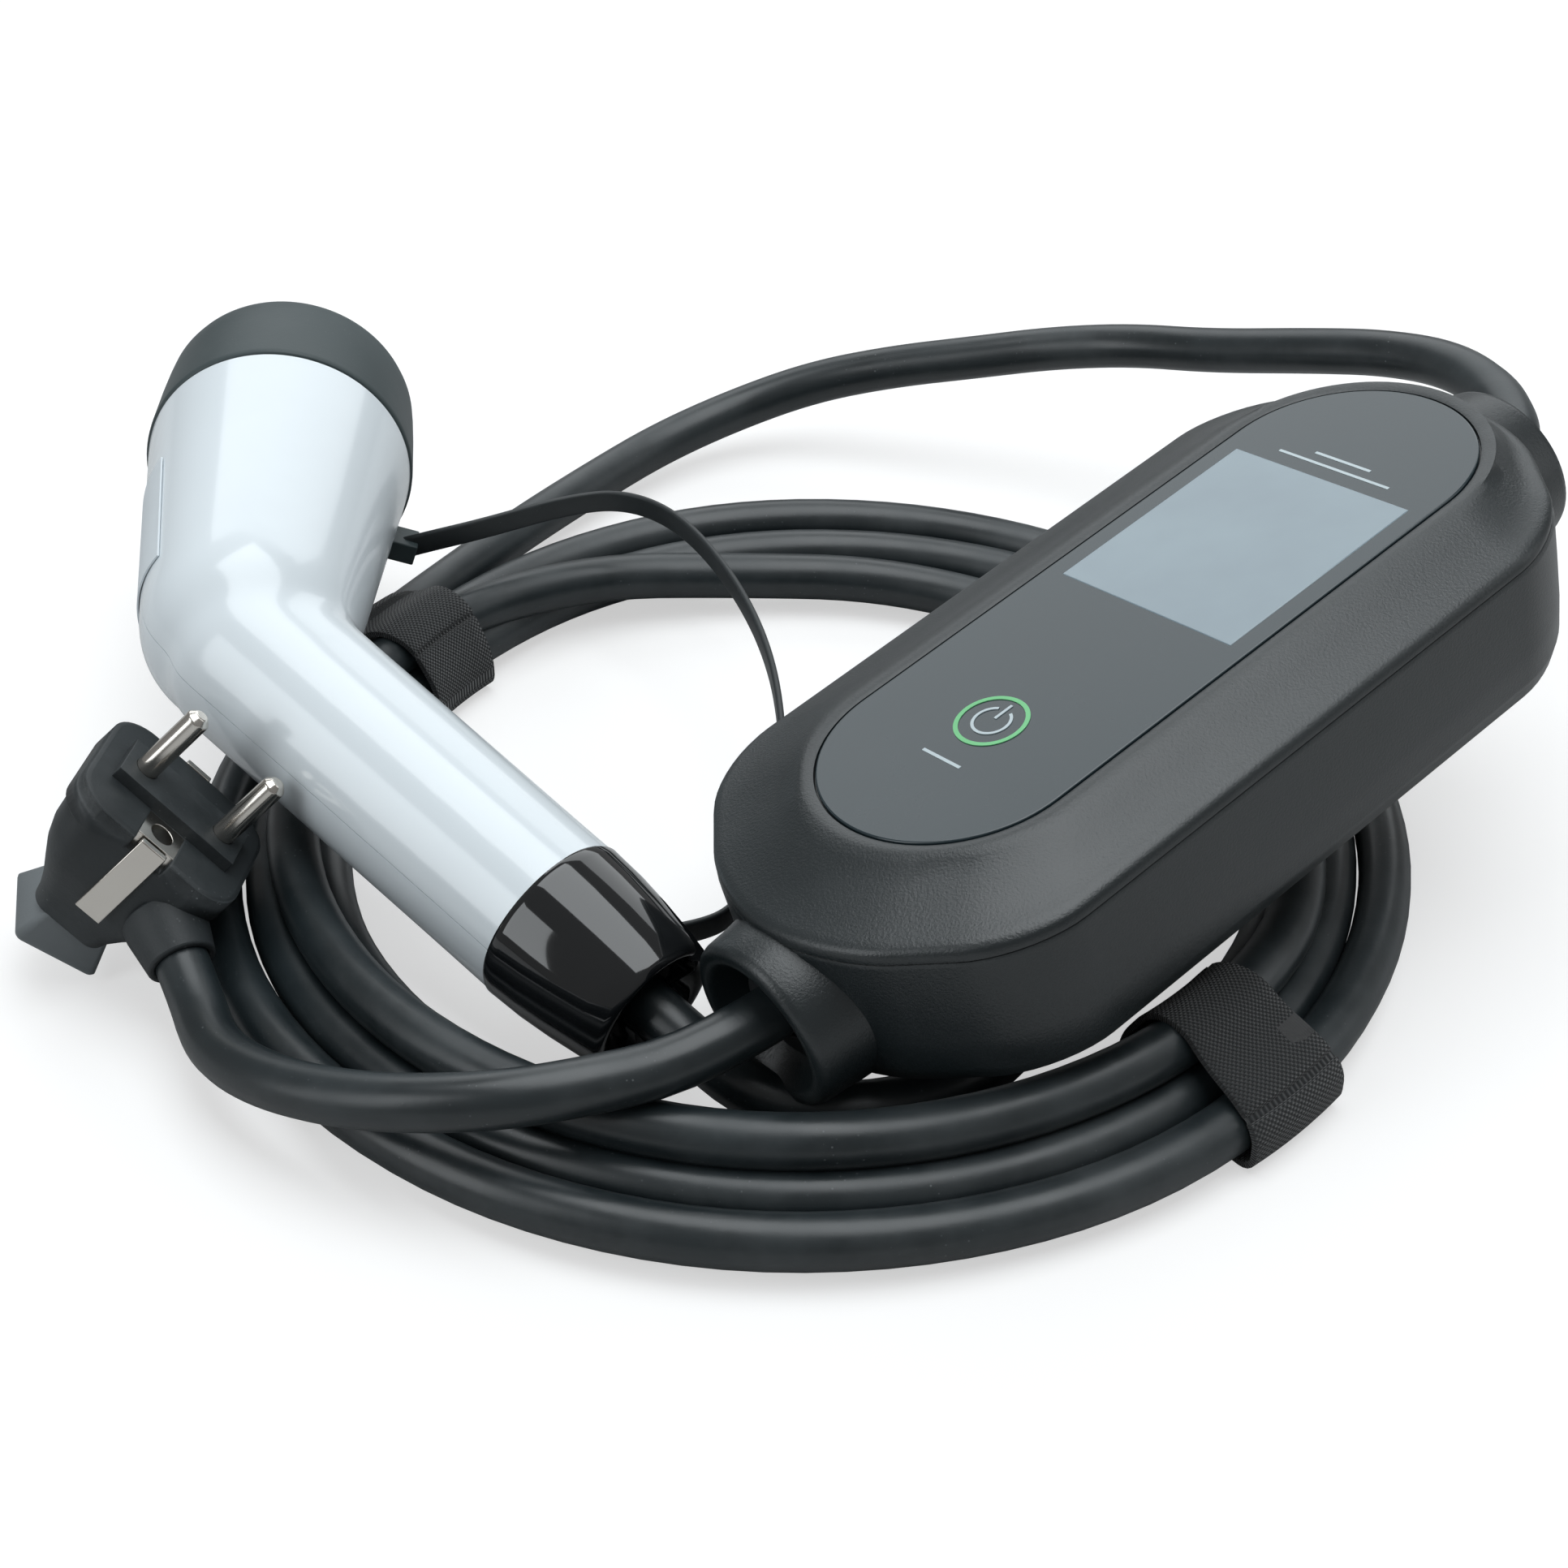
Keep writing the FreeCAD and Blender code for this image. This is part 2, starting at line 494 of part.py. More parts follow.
    # screws that hold the two halves together, heads sunk in the lower half
    screws = []
    for x, y in ((-17.0, 55.0), (15.5, 34.0), (-9.0, 9.0)):
        screws.append(rod(1.5, V(x, y, -9), V(x, y, 9)).fuse(rod(2.8, V(x, y, -11), V(x, y, -9))))
    for distance in (40.0, 70.0):
        p = along_handle(distance)
        screws.append(rod(1.5, V(p.x, p.y, -8), V(p.x, p.y, 8)).fuse(
            rod(2.6, V(p.x, p.y, -10), V(p.x, p.y, -8))))
    add("shell_screws", Part.makeCompound(screws), CONNECTOR)


# ---------------------------------------------------------------- mains plug
def make_plug():
    # y runs out along the pins, x through both pins, z towards the earth opening
    body = cone(14.0, PLUG_R, V(0, -PLUG_DEPTH, 0), V(0, -9, 0))
    body = body.fuse(rod(PLUG_R, V(0, -9, 0), V(0, 0, 0)))
    for side in (-1, 1):
        flat = block(-9.5, 9.5, -30, 1, min(side * 16.6, side * 30), max(side * 16.6, side * 30))
        body = body.cut(flat)
    bridge = block(-14.0, 14.0, -0.2, 2.6, -6.0, 6.0)
    body = body.cut(block(-14.05, 14.05, -0.2, 1, -6.05, 6.05))
    for side in (-1, 1):
        body = body.cut(rod(PIN_R, V(side * PIN_HALF_PITCH, -14, 0), V(side * PIN_HALF_PITCH, 1, 0)))
        bridge = bridge.cut(rod(PIN_R, V(side * PIN_HALF_PITCH, -1, 0), V(side * PIN_HALF_PITCH, 4, 0)))
        strip = (block(-3.0, 3.0, -20, 0.4, 15.4, 17.4) if side > 0
                 else block(-3.0, 3.0, -20, 0.4, -17.4, -15.4))
        body = body.cut(strip)
    body = body.cut(block(-4.6, 4.6, -8, 1, EARTH_BORE_Z - 4.6, EARTH_BORE_Z + 4.4))
    grip_axis = V(0, -1, 0)
    grip_start = V(0, -PLUG_DEPTH, 0)
    grip = cone(8.0, 9.8, grip_start, grip_start + grip_axis * 14.0)
    relief_root = V(0, PLUG_EXIT_Y, 0) + PLUG_EXIT * 16.0
    relief_foot = V(0, PLUG_EXIT_Y, 0) + PLUG_EXIT * 18.5
    relief_tip = V(0, PLUG_EXIT_Y, 0) + PLUG_EXIT * 27.0
    relief = cone(8.0, 8.0, relief_root, relief_foot).fuse(cone(8.0, 6.6, relief_foot, relief_tip))
    relief = relief.cut(rod(CABLE_R, V(0, PLUG_EXIT_Y, 0) + PLUG_EXIT * 21.0, relief_tip + PLUG_EXIT))
    body = body.cut(relief)
    add("plug_strain_relief", relief, PLUG)
    add("plug_body", body.removeSplitter(), PLUG)
    add("plug_bridge", bridge, PLUG)
    add("plug_grip", grip, PLUG)
    pins = []
    for side in (-1, 1):
        x = side * PIN_HALF_PITCH
        straight = rod(PIN_R, V(x, -14, 0), V(x, PIN_LENGTH - 1.2, 0))
        tip = cone(PIN_R, 1.3, V(x, PIN_LENGTH - 1.2, 0), V(x, PIN_LENGTH, 0))
        pins.append(straight.fuse(tip))
    add("plug_pins", Part.makeCompound(pins), PLUG)
    strips = [block(-2.9, 2.9, -19.8, 0.3, side * 16.35 - 0.75, side * 16.35 + 0.75) for side in (-1, 1)]
    add("earth_strips", Part.makeCompound(strips), PLUG)
    socket = block(-4.4, 4.4, -7.8, -0.2, EARTH_BORE_Z - 4.4, EARTH_BORE_Z + 4.2)
    socket = socket.cut(rod(EARTH_BORE_R, V(0, -7.0, EARTH_BORE_Z), V(0, 1, EARTH_BORE_Z)))
    add("earth_socket", socket, PLUG)


# ---------------------------------------------------------------- cables
def rounded_path(points):
    """Straight runs joined by tangent arcs, each as large as its two runs allow."""
    edges = []
    radii = []
    here = points[0]
    for i in range(1, len(points) - 1):
        back = points[i - 1] - points[i]
        ahead = points[i + 1] - points[i]
        shorter = min(back.Length, ahead.Length)
        turn = pi - acos(max(-1.0, min(1.0, back.dot(ahead) / (back.Length * ahead.Length))))
        setback = 0.45 * shorter
        radius = setback / tan(turn / 2)
        radii.append(round(radius))
        a = points[i] + V(back).normalize() * setback
        b = points[i] + V(ahead).normalize() * setback
        bisector = (V(back).normalize() + V(ahead).normalize()).normalize()
        centre = points[i] + bisector * (radius / cos(turn / 2))
        middle = centre - bisector * radius
        edges.append(Part.LineSegment(here, a).toShape())
        edges.append(Part.Arc(a, middle, b).toShape())
        here = b
    edges.append(Part.LineSegment(here, points[-1]).toShape())
    return Part.Wire(edges), radii


def cable(name, points):
    """Round cable along a route; prints its length, arc radii and how well its volume agrees."""
    path, radii = rounded_path(points)
    start_direction = (points[1] - points[0]).normalize()
    section = Part.Wire(Part.makeCircle(CABLE_R, points[0], start_direction))
    solid = path.makePipeShell([section], True, True)
    expected = pi * CABLE_R ** 2 * path.Length
    print(name, "length %.0f" % path.Length, "radii", radii, "volume ratio %.4f" % (solid.Volume / expected))
    return solid


def make_coil():
    ring = turned([(COIL_R_IN, COIL_BASE), (COIL_R_OUT, COIL_BASE), (COIL_R_OUT, COIL_TOP),
                   (COIL_R_IN, COIL_TOP)])
    tiers = [turned([(TIER_R_IN, COIL_TOP - 2), (TIER_R_OUT, COIL_TOP - 2), (TIER_R_OUT, TIER_TOP),
                     (TIER_R_IN, TIER_TOP)], start=low, sweep=high - low) for low, high in TIER_ARCS]
    return ring.fuse(tiers).removeSplitter()


def make_tie(angle):
    """Flat strap round the whole bundle, over the turn that lies on top."""
    half = degrees(TIE_WIDTH / 2 / ((COIL_R_IN + COIL_R_OUT) / 2))
    inner = tie_outline(GAP, COIL_BASE - 0.05)
    outer = tie_outline(TIE_THICK, 0.0)
    band = turned(outer, start=angle - half, sweep=2 * half)
    return band.cut(turned(inner, start=angle - half - 5, sweep=2 * half + 10))


def tie_outline(out, low):
    """Section round the bundle, further out by the given amount."""
    return [(COIL_R_IN - out, low), (COIL_R_OUT + out, low), (COIL_R_OUT + out, COIL_TOP + 0.5 * out),
            (TIER_R_OUT + 0.7 * out, TIER_TOP + out), (TIER_R_IN - 0.7 * out, TIER_TOP + out),
            (COIL_R_IN - out, COIL_TOP + 0.5 * out)]


def plug_direction():
    return PLUG.x * PLUG_EXIT.x + PLUG.y * PLUG_EXIT.y + PLUG.z * PLUG_EXIT.z


def make_cables():
    coil = make_coil()
    coil_world = COIL.put(coil)
    box_near = BOX.point(NEAR_SPOUT_X + 28.5, 0, SPOUT_AXIS_Z)
    box_near_out = BOX.point(NEAR_SPOUT_X - 8.0, 0, SPOUT_AXIS_Z)
    plug_start = PLUG.origin + PLUG.y * PLUG_EXIT_Y + plug_direction() * 21.0
    plug_out = PLUG.origin + PLUG.y * PLUG_EXIT_Y + plug_direction() * 34.0
    plug_lead = cable("plug_lead", [plug_start, plug_out] + PLUG_LEAD_ROUTE + [box_near_out, box_near])
    add("plug_lead", plug_lead)

    box_far = BOX.point(FAR_SPOUT_X - 28.5, 0, SPOUT_AXIS_Z)
    box_far_out = BOX.point(FAR_SPOUT_X + 4.0, 0, SPOUT_AXIS_Z)
    output_lead = cable("output_lead", [box_far, box_far_out] + OUTPUT_LEAD_ROUTE)
    add("output_lead", output_lead.cut(coil_world))

    tail = CONNECTOR.origin + HANDLE_AXIS * (NUT_END - 12.0)
    tail_out = CONNECTOR.origin + HANDLE_AXIS * (NUT_END + 8.0)
    connector_lead = cable("connector_lead", [tail, tail_out] + CONNECTOR_LEAD_ROUTE)
    add("connector_lead", connector_lead.cut(coil_world))
    add("output_coil", coil, COIL)
    add("tie_left", make_tie(TIE_LEFT_ANGLE), COIL)
    add("tie_right", make_tie(TIE_RIGHT_ANGLE), COIL)


def make_strap():
    """Flat rubber strap on edge, from beside the cap's lug to the button on the tail nut."""
    path, radii = rounded_path(STRAP_ROUTE)
    start = STRAP_ROUTE[0]
    forward = (STRAP_ROUTE[1] - start).normalize()
    side = forward.cross(V(0, 0, 1)).normalize() * (STRAP_THICK / 2)
    rise = V(0, 0, STRAP_HEIGHT / 2)
    corners = [start + side + rise, start - side + rise, start - side - rise, start + side - rise]
    section = Part.makePolygon(corners + corners[:1])
    shell = Part.BRepOffsetAPI.MakePipeShell(path)
    shell.setBiNormalMode(V(0, 0, 1))
    shell.add(section, False, False)
    shell.setTransitionMode(1)
    shell.build()
    shell.makeSolid()
    solid = shell.shape()
    print("cap_strap length %.0f" % path.Length, "radii", radii, "volume ratio %.3f" % (
        solid.Volume / (path.Length * STRAP_THICK * STRAP_HEIGHT)))
    add("cap_strap", solid)


def main():
    make_control_box()
    make_connector()
    make_plug()
    make_cables()
    make_strap()
    os.makedirs("parts", exist_ok=True)
    for name, shape in pieces.items():
        if not shape.isValid():
            print("not valid:", name)
        shape.exportStep(os.path.join("parts", name + ".step"))
    print(len(pieces), "pieces")


main()
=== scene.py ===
"""Portable vehicle charging cable: control box, hand-held connector, mains plug and coiled lead."""
import json
from math import cos, sin, pi, radians, atan2

import bmesh
import bpy
from bpy.props import FloatProperty, FloatVectorProperty, PointerProperty
from mathutils import Matrix, Vector


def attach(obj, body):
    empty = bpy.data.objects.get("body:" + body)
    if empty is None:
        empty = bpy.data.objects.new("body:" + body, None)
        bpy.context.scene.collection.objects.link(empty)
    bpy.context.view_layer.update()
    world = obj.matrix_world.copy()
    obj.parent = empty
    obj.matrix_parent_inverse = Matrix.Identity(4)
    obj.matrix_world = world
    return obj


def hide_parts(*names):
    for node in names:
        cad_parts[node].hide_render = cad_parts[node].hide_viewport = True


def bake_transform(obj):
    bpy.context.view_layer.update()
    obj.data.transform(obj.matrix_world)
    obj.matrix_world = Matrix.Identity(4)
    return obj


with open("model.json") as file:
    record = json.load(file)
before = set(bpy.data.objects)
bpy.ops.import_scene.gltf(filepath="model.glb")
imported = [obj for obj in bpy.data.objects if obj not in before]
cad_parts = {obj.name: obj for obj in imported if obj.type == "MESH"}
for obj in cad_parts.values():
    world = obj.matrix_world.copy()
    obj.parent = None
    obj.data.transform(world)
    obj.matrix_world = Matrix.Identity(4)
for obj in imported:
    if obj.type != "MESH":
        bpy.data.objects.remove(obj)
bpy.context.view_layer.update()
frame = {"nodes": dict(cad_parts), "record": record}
NODES = frame["nodes"]

bl_info = {
    "name": "Portable charging cable",
    "version": (1, 0, 0),
    "blender": (4, 5, 0),
    "location": "View3D > Sidebar > Charging cable",
    "description": "Builds a portable vehicle charging cable round its packed frame",
    "category": "Add Mesh",
}

MM = 0.001
# where the frame's origin lies in the layout
ORIGIN_X = 10.96
ORIGIN_Y = -18.17


# ---------------------------------------------------------------- placing
def row_point(x, y, z):
    """A point of the layout, given in millimetres, in metres from the frame's origin."""
    return Vector((x - ORIGIN_X, y - ORIGIN_Y, z)) * MM


def unit_frame(origin, x_axis, y_axis):
    """Matrix that takes a unit's own millimetres to the frame's metres."""
    x = Vector(x_axis).normalized()
    y = Vector(y_axis)
    y = (y - x * y.dot(x)).normalized()
    z = x.cross(y)
    turn = Matrix((x, y, z)).transposed().to_4x4()
    return Matrix.Translation(row_point(*origin)) @ turn @ Matrix.Scale(MM, 4)


NOSE_AXIS = Vector((-0.045, 0.999, 0.016)).normalized()
HANDLE_AXIS = Vector((0.7187, -0.648, -0.250)).normalized()
IN_PLANE = (HANDLE_AXIS - NOSE_AXIS * HANDLE_AXIS.dot(NOSE_AXIS)).normalized()
BEND = (-107.6, -16.6, 45.4)
CONNECTOR = unit_frame(BEND, IN_PLANE, NOSE_AXIS)
HANDLE_LOCAL = Vector((IN_PLANE.dot(HANDLE_AXIS), NOSE_AXIS.dot(HANDLE_AXIS), 0))
INNER_SIDE = Vector((-HANDLE_LOCAL.y, HANDLE_LOCAL.x, 0))
HANDLE = CONNECTOR @ Matrix((INNER_SIDE, (0, 0, -1), HANDLE_LOCAL)).transposed().to_4x4()
BOX = unit_frame((69.8, -39.4, 72.3), (0.747, 0.634, 0.200), (-0.618, 0.773, -0.142))
PLUG = unit_frame((-115.9, -55.6, 35.2), (0.70, -0.17, -0.695), (0.71, 0.07, 0.70))
COIL_CENTRE = (5.5, -21.5, 0.0)
COIL = unit_frame(COIL_CENTRE, (1, 0, 0), (0, 1, 0))
WORLD = Matrix.Identity(4)

# ---------------------------------------------------------------- cord routes, layout millimetres
GLAND_Z = -26.2
FAR_GLAND = (68.5, 0, GLAND_Z)
FAR_GLAND_OUT = (101, 0, GLAND_Z)
NEAR_GLAND = (-79.5, 0, GLAND_Z)
NEAR_GLAND_OUT = (-116, 0, GLAND_Z)
OUTPUT_LEAD_ROUTE = [
    (154.2, 38.2, 66.5), (153.5, 54.0, 65.5), (147.0, 69.0, 64.0), (135.5, 81.5, 60.2),
    (120.8, 93.0, 54.6), (101.0, 110.6, 45.2), (84.0, 123.5, 40.0), (66.0, 131.5, 35.0),
    (47.0, 136.0, 30.0), (27.0, 141.5, 24.5), (7.0, 144.5, 18.5), (-13.0, 141.5, 12.0),
    (-31.0, 131.0, 8.5), (-46.0, 115.0, 7.1), (-60.0, 97.0, 6.8), (-71.0, 81.0, 6.8)]
CONNECTOR_LEAD_ROUTE = [
    (-5.5, -106.0, 7.6), (11.0, -108.5, 6.0), (29.0, -103.5, 5.6), (43.0, -91.0, 5.6),
    (50.0, -73.0, 5.6), (50.0, -53.0, 5.6), (45.0, -34.0, 5.6), (41.0, -15.0, 5.8),
    (44.0, 5.0, 7.0), (56.0, 20.0, 9.5), (75.0, 25.5, 13.5), (92.5, 17.0, 17.8),
    (102.5, 2.0, 17.4)]
PLUG_LEAD_ROUTE = [
    (-105.0, -98.5, 12.8), (-93.5, -110.5, 15.8), (-78.0, -119.5, 19.6), (-61.0, -125.0, 23.6),
    (-42.0, -126.0, 26.4)]
STRAP_ROUTE = [
    (-86.0, 57.8, 23.4), (-81.2, 57.5, 25.0), (-67.0, 59.0, 28.0), (-50.0, 64.5, 30.5),
    (-36.0, 66.0, 31.5),
    (-23.0, 55.0, 32.0), (-11.0, 32.0, 31.0), (-3.0, 7.0, 29.0), (0.0, -18.0, 26.0),
    (-1.0, -36.0, 21.5), (-4.5, -53.0, 17.0), (-10.0, -63.5, 15.2), (-17.0, -68.0, 15.2),
    (-22.6, -69.6, 15.6)]
# the coil's turns: (angle in degrees, radius, height); between two stations the cable drifts evenly
COIL_STATIONS = [
    (140, 119.0, 6.85), (160, 120.2, 6.85), (200, 121.8, 6.85), (240, 121.2, 6.85), (290, 119.4, 6.85),
    (330, 116.8, 6.85), (450, 118.6, 6.85),
    (520, 108.6, 6.85), (560, 110.8, 6.85), (600, 110.6, 6.85), (660, 108.4, 6.85),
    (700, 106.2, 6.85), (770, 106.0, 6.85), (810, 104.4, 6.85),
    (880, 97.8, 6.85), (920, 99.8, 6.85), (970, 99.6, 6.85), (1030, 97.4, 6.85), (1090, 95.4, 6.85),
    (1135, 91.0, 6.85), (1180, 91.8, 8.2), (1205, 98.0, 12.4), (1230, 103.4, 15.6), (1260, 105.2, 15.2),
    (1310, 105.0, 15.2), (1335, 104.4, 14.9), (1380, 102.6, 15.4), (1425, 102.2, 15.6)]
COIL_STEP = 20.0
# along the handle's axis from the bend: the cable's end inside the tail, and clear of the nut
CABLE_END = 104.6
CABLE_CLEAR = 124.6


def station_at(angle):
    """Radius and height of the coiled cable at an angle."""
    for low, high in zip(COIL_STATIONS, COIL_STATIONS[1:]):
        if low[0] <= angle <= high[0]:
            t = (angle - low[0]) / (high[0] - low[0])
            t = t * t * (3 - 2 * t)
            return low[1] + (high[1] - low[1]) * t, low[2] + (high[2] - low[2]) * t
    return COIL_STATIONS[-1][1:]


def coil_turns():
    """Points of the turns, counter-clockwise from the back left, a little outside the cable's line."""
    points = []
    angle = COIL_STATIONS[0][0]
    reach = 1 / cos(radians(COIL_STEP / 2))
    while angle <= COIL_STATIONS[-1][0]:
        radius, height = station_at(angle)
        a = radians(angle)
        points.append(row_point(COIL_CENTRE[0] + radius * reach * cos(a),
                                COIL_CENTRE[1] + radius * reach * sin(a), height))
        angle += COIL_STEP
    return points


# ---------------------------------------------------------------- shader groups
def new_group(name, inputs, outputs):
    group = bpy.data.node_groups.new(name, "ShaderNodeTree")
    for label, kind, value in inputs:
        socket = group.interface.new_socket(name=label, in_out="INPUT", socket_type="NodeSocket" + kind)
        if value is not None:
            socket.default_value = value
    for label, kind in outputs:
        group.interface.new_socket(name=label, in_out="OUTPUT", socket_type="NodeSocket" + kind)
    into = group.nodes.new("NodeGroupInput")
    out = group.nodes.new("NodeGroupOutput")
    return group, into, out


def math_node(tree, operation, a, b, clamp=False):
    node = tree.nodes.new("ShaderNodeMath")
    node.operation = operation
    node.use_clamp = clamp
    for socket, value in zip(node.inputs, (a, b)):
        if isinstance(value, (int, float)):
            socket.default_value = value
        else:
            tree.links.new(value, socket)
    return node.outputs[0]


def noise_node(tree, vector, scale, detail=2.0, rough=0.5):
    node = tree.nodes.new("ShaderNodeTexNoise")
    tree.links.new(vector, node.inputs["Vector"])
    if isinstance(scale, (int, float)):
        node.inputs["Scale"].default_value = scale
    else:
        tree.links.new(scale, node.inputs["Scale"])
    node.inputs["Detail"].default_value = detail
    node.inputs["Roughness"].default_value = rough
    return node.outputs["Fac"]


def range_node(tree, value, low, high, to_low=0.0, to_high=1.0):
    node = tree.nodes.new("ShaderNodeMapRange")
    tree.links.new(value, node.inputs["Value"])
    limits = {"From Min": low, "From Max": high, "To Min": to_low, "To Max": to_high}
    for label, number in limits.items():
        node.inputs[label].default_value = number
    return node.outputs["Result"]


def build_grain():
    group, into, out = new_group(
        "Moulded grain", [("Vector", "Vector", None), ("Scale", "Float", 2000.0)],
        [("Height", "Float"), ("Tone", "Float")])
    fine = noise_node(group, into.outputs["Vector"], into.outputs["Scale"], 3.0, 0.6)
    broad = noise_node(group, into.outputs["Vector"], 38.0, 3.0, 0.55)
    group.links.new(fine, out.inputs["Height"])
    group.links.new(range_node(group, broad, 0.3, 0.7), out.inputs["Tone"])
    return group


def build_dust():
    group, into, out = new_group(
        "Dust specks", [("Vector", "Vector", None), ("Amount", "Float", 0.5)], [("Mask", "Float")])
    cells = group.nodes.new("ShaderNodeTexVoronoi")
    cells.inputs["Scale"].default_value = 620.0
    group.links.new(into.outputs["Vector"], cells.inputs["Vector"])
    specks = range_node(group, cells.outputs["Distance"], 0.16, 0.06)
    patches = noise_node(group, into.outputs["Vector"], 60.0, 4.0, 0.6)
    held = range_node(group, patches, 0.5, 0.72)
    mask = math_node(group, "MULTIPLY", specks, held)
    cloud = noise_node(group, into.outputs["Vector"], 24.0, 5.0, 0.65)
    haze = range_node(group, cloud, 0.45, 0.8, 0.0, 0.3)
    both = math_node(group, "MAXIMUM", mask, haze)
    group.links.new(math_node(group, "MULTIPLY", both, into.outputs["Amount"]), out.inputs["Mask"])
    return group


def build_wear():
    group, into, out = new_group(
        "Edge wear", [("Vector", "Vector", None), ("Amount", "Float", 0.5)], [("Mask", "Float")])
    geometry = group.nodes.new("ShaderNodeNewGeometry")
    edge = range_node(group, geometry.outputs["Pointiness"], 0.53, 0.62)
    broken = range_node(group, noise_node(group, into.outputs["Vector"], 260.0, 4.0, 0.7), 0.4, 0.65)
    worn = math_node(group, "MULTIPLY", edge, broken)
    group.links.new(math_node(group, "MULTIPLY", worn, into.outputs["Amount"]), out.inputs["Mask"])
    return group


def build_weave():
    group, into, out = new_group(
        "Band weave", [("Vector", "Vector", None), ("Scale", "Float", 1.0)],
        [("Height", "Float"), ("Tone", "Float")])
    scaled = group.nodes.new("ShaderNodeVectorMath")
    scaled.operation = "SCALE"
    group.links.new(into.outputs["Vector"], scaled.inputs[0])
    group.links.new(into.outputs["Scale"], scaled.inputs["Scale"])
    parts = group.nodes.new("ShaderNodeSeparateXYZ")
    group.links.new(scaled.outputs[0], parts.inputs[0])
    along = math_node(group, "SINE", math_node(group, "MULTIPLY", parts.outputs["X"], 2 * pi), 0.0)
    shifted = math_node(group, "ADD", parts.outputs["Y"], math_node(
        group, "MULTIPLY", math_node(group, "SIGN", along, 0.0), 0.25))
    across = math_node(group, "SINE", math_node(group, "MULTIPLY", shifted, 2 * pi), 0.0)
    ribs = math_node(group, "ABSOLUTE", along, 0.0)
    height = math_node(group, "ADD", math_node(group, "MULTIPLY", across, 0.5),
                       math_node(group, "MULTIPLY", ribs, 0.6))
    group.links.new(height, out.inputs["Height"])
    group.links.new(range_node(group, height, -0.4, 1.1), out.inputs["Tone"])
    return group


GROUPS = {}
MATERIALS = {}


def place_group(tree, name, vector, **values):
    node = tree.nodes.new("ShaderNodeGroup")
    node.node_tree = GROUPS[name]
    tree.links.new(vector, node.inputs["Vector"])
    for label, value in values.items():
        node.inputs[label].default_value = value
    return node


def mix_colour(tree, factor, first, second):
    node = tree.nodes.new("ShaderNodeMix")
    node.data_type = "RGBA"
    tree.links.new(factor, node.inputs[0])
    for socket, value in ((node.inputs[6], first), (node.inputs[7], second)):
        if isinstance(value, (tuple, list)):
            socket.default_value = (*value[:3], 1.0)
        else:
            tree.links.new(value, socket)
    return node.outputs[2]


def finish(name, colour, tone, rough, rough_spread=0.08, scale=2200.0, depth=0.00003, strength=0.5,
           dust=0.0, wear=0.0, wear_colour=(0.3, 0.3, 0.3), weave=0.0, **sockets):
    """Material of one finish; sockets are the shader's own constant values."""
    material = bpy.data.materials.new(name)
    material.use_nodes = True
    tree = material.node_tree
    shader = tree.nodes["Principled BSDF"]
    coordinates = tree.nodes.new("ShaderNodeTexCoord")
    place = coordinates.outputs["UV" if weave else "Object"]
    if weave:
        pattern = place_group(tree, "Band weave", place, Scale=weave)
    else:
        pattern = place_group(tree, "Moulded grain", place, Scale=scale)
    base = mix_colour(tree, pattern.outputs["Tone"], colour, tone)
    where = coordinates.outputs["Object"]
    roughness = range_node(tree, pattern.outputs["Tone"], 0.0, 1.0, rough - rough_spread / 2,
                           rough + rough_spread / 2)
    if wear:
        worn = place_group(tree, "Edge wear", where, Amount=wear)
        base = mix_colour(tree, worn.outputs["Mask"], base, wear_colour)
    if dust:
        dusty = place_group(tree, "Dust specks", where, Amount=dust)
        base = mix_colour(tree, dusty.outputs["Mask"], base, (0.30, 0.32, 0.33))
        roughness = math_node(tree, "ADD", roughness, math_node(
            tree, "MULTIPLY", dusty.outputs["Mask"], 0.4), True)
    tree.links.new(base, shader.inputs["Base Color"])
    tree.links.new(roughness, shader.inputs["Roughness"])
    bump = tree.nodes.new("ShaderNodeBump")
    bump.inputs["Strength"].default_value = strength
    bump.inputs["Distance"].default_value = depth
    tree.links.new(pattern.outputs["Height"], bump.inputs["Height"])
    tree.links.new(bump.outputs["Normal"], shader.inputs["Normal"])
    for label, value in sockets.items():
        shader.inputs[label.replace("_", " ")].default_value = value
    MATERIALS[name] = material
    return material


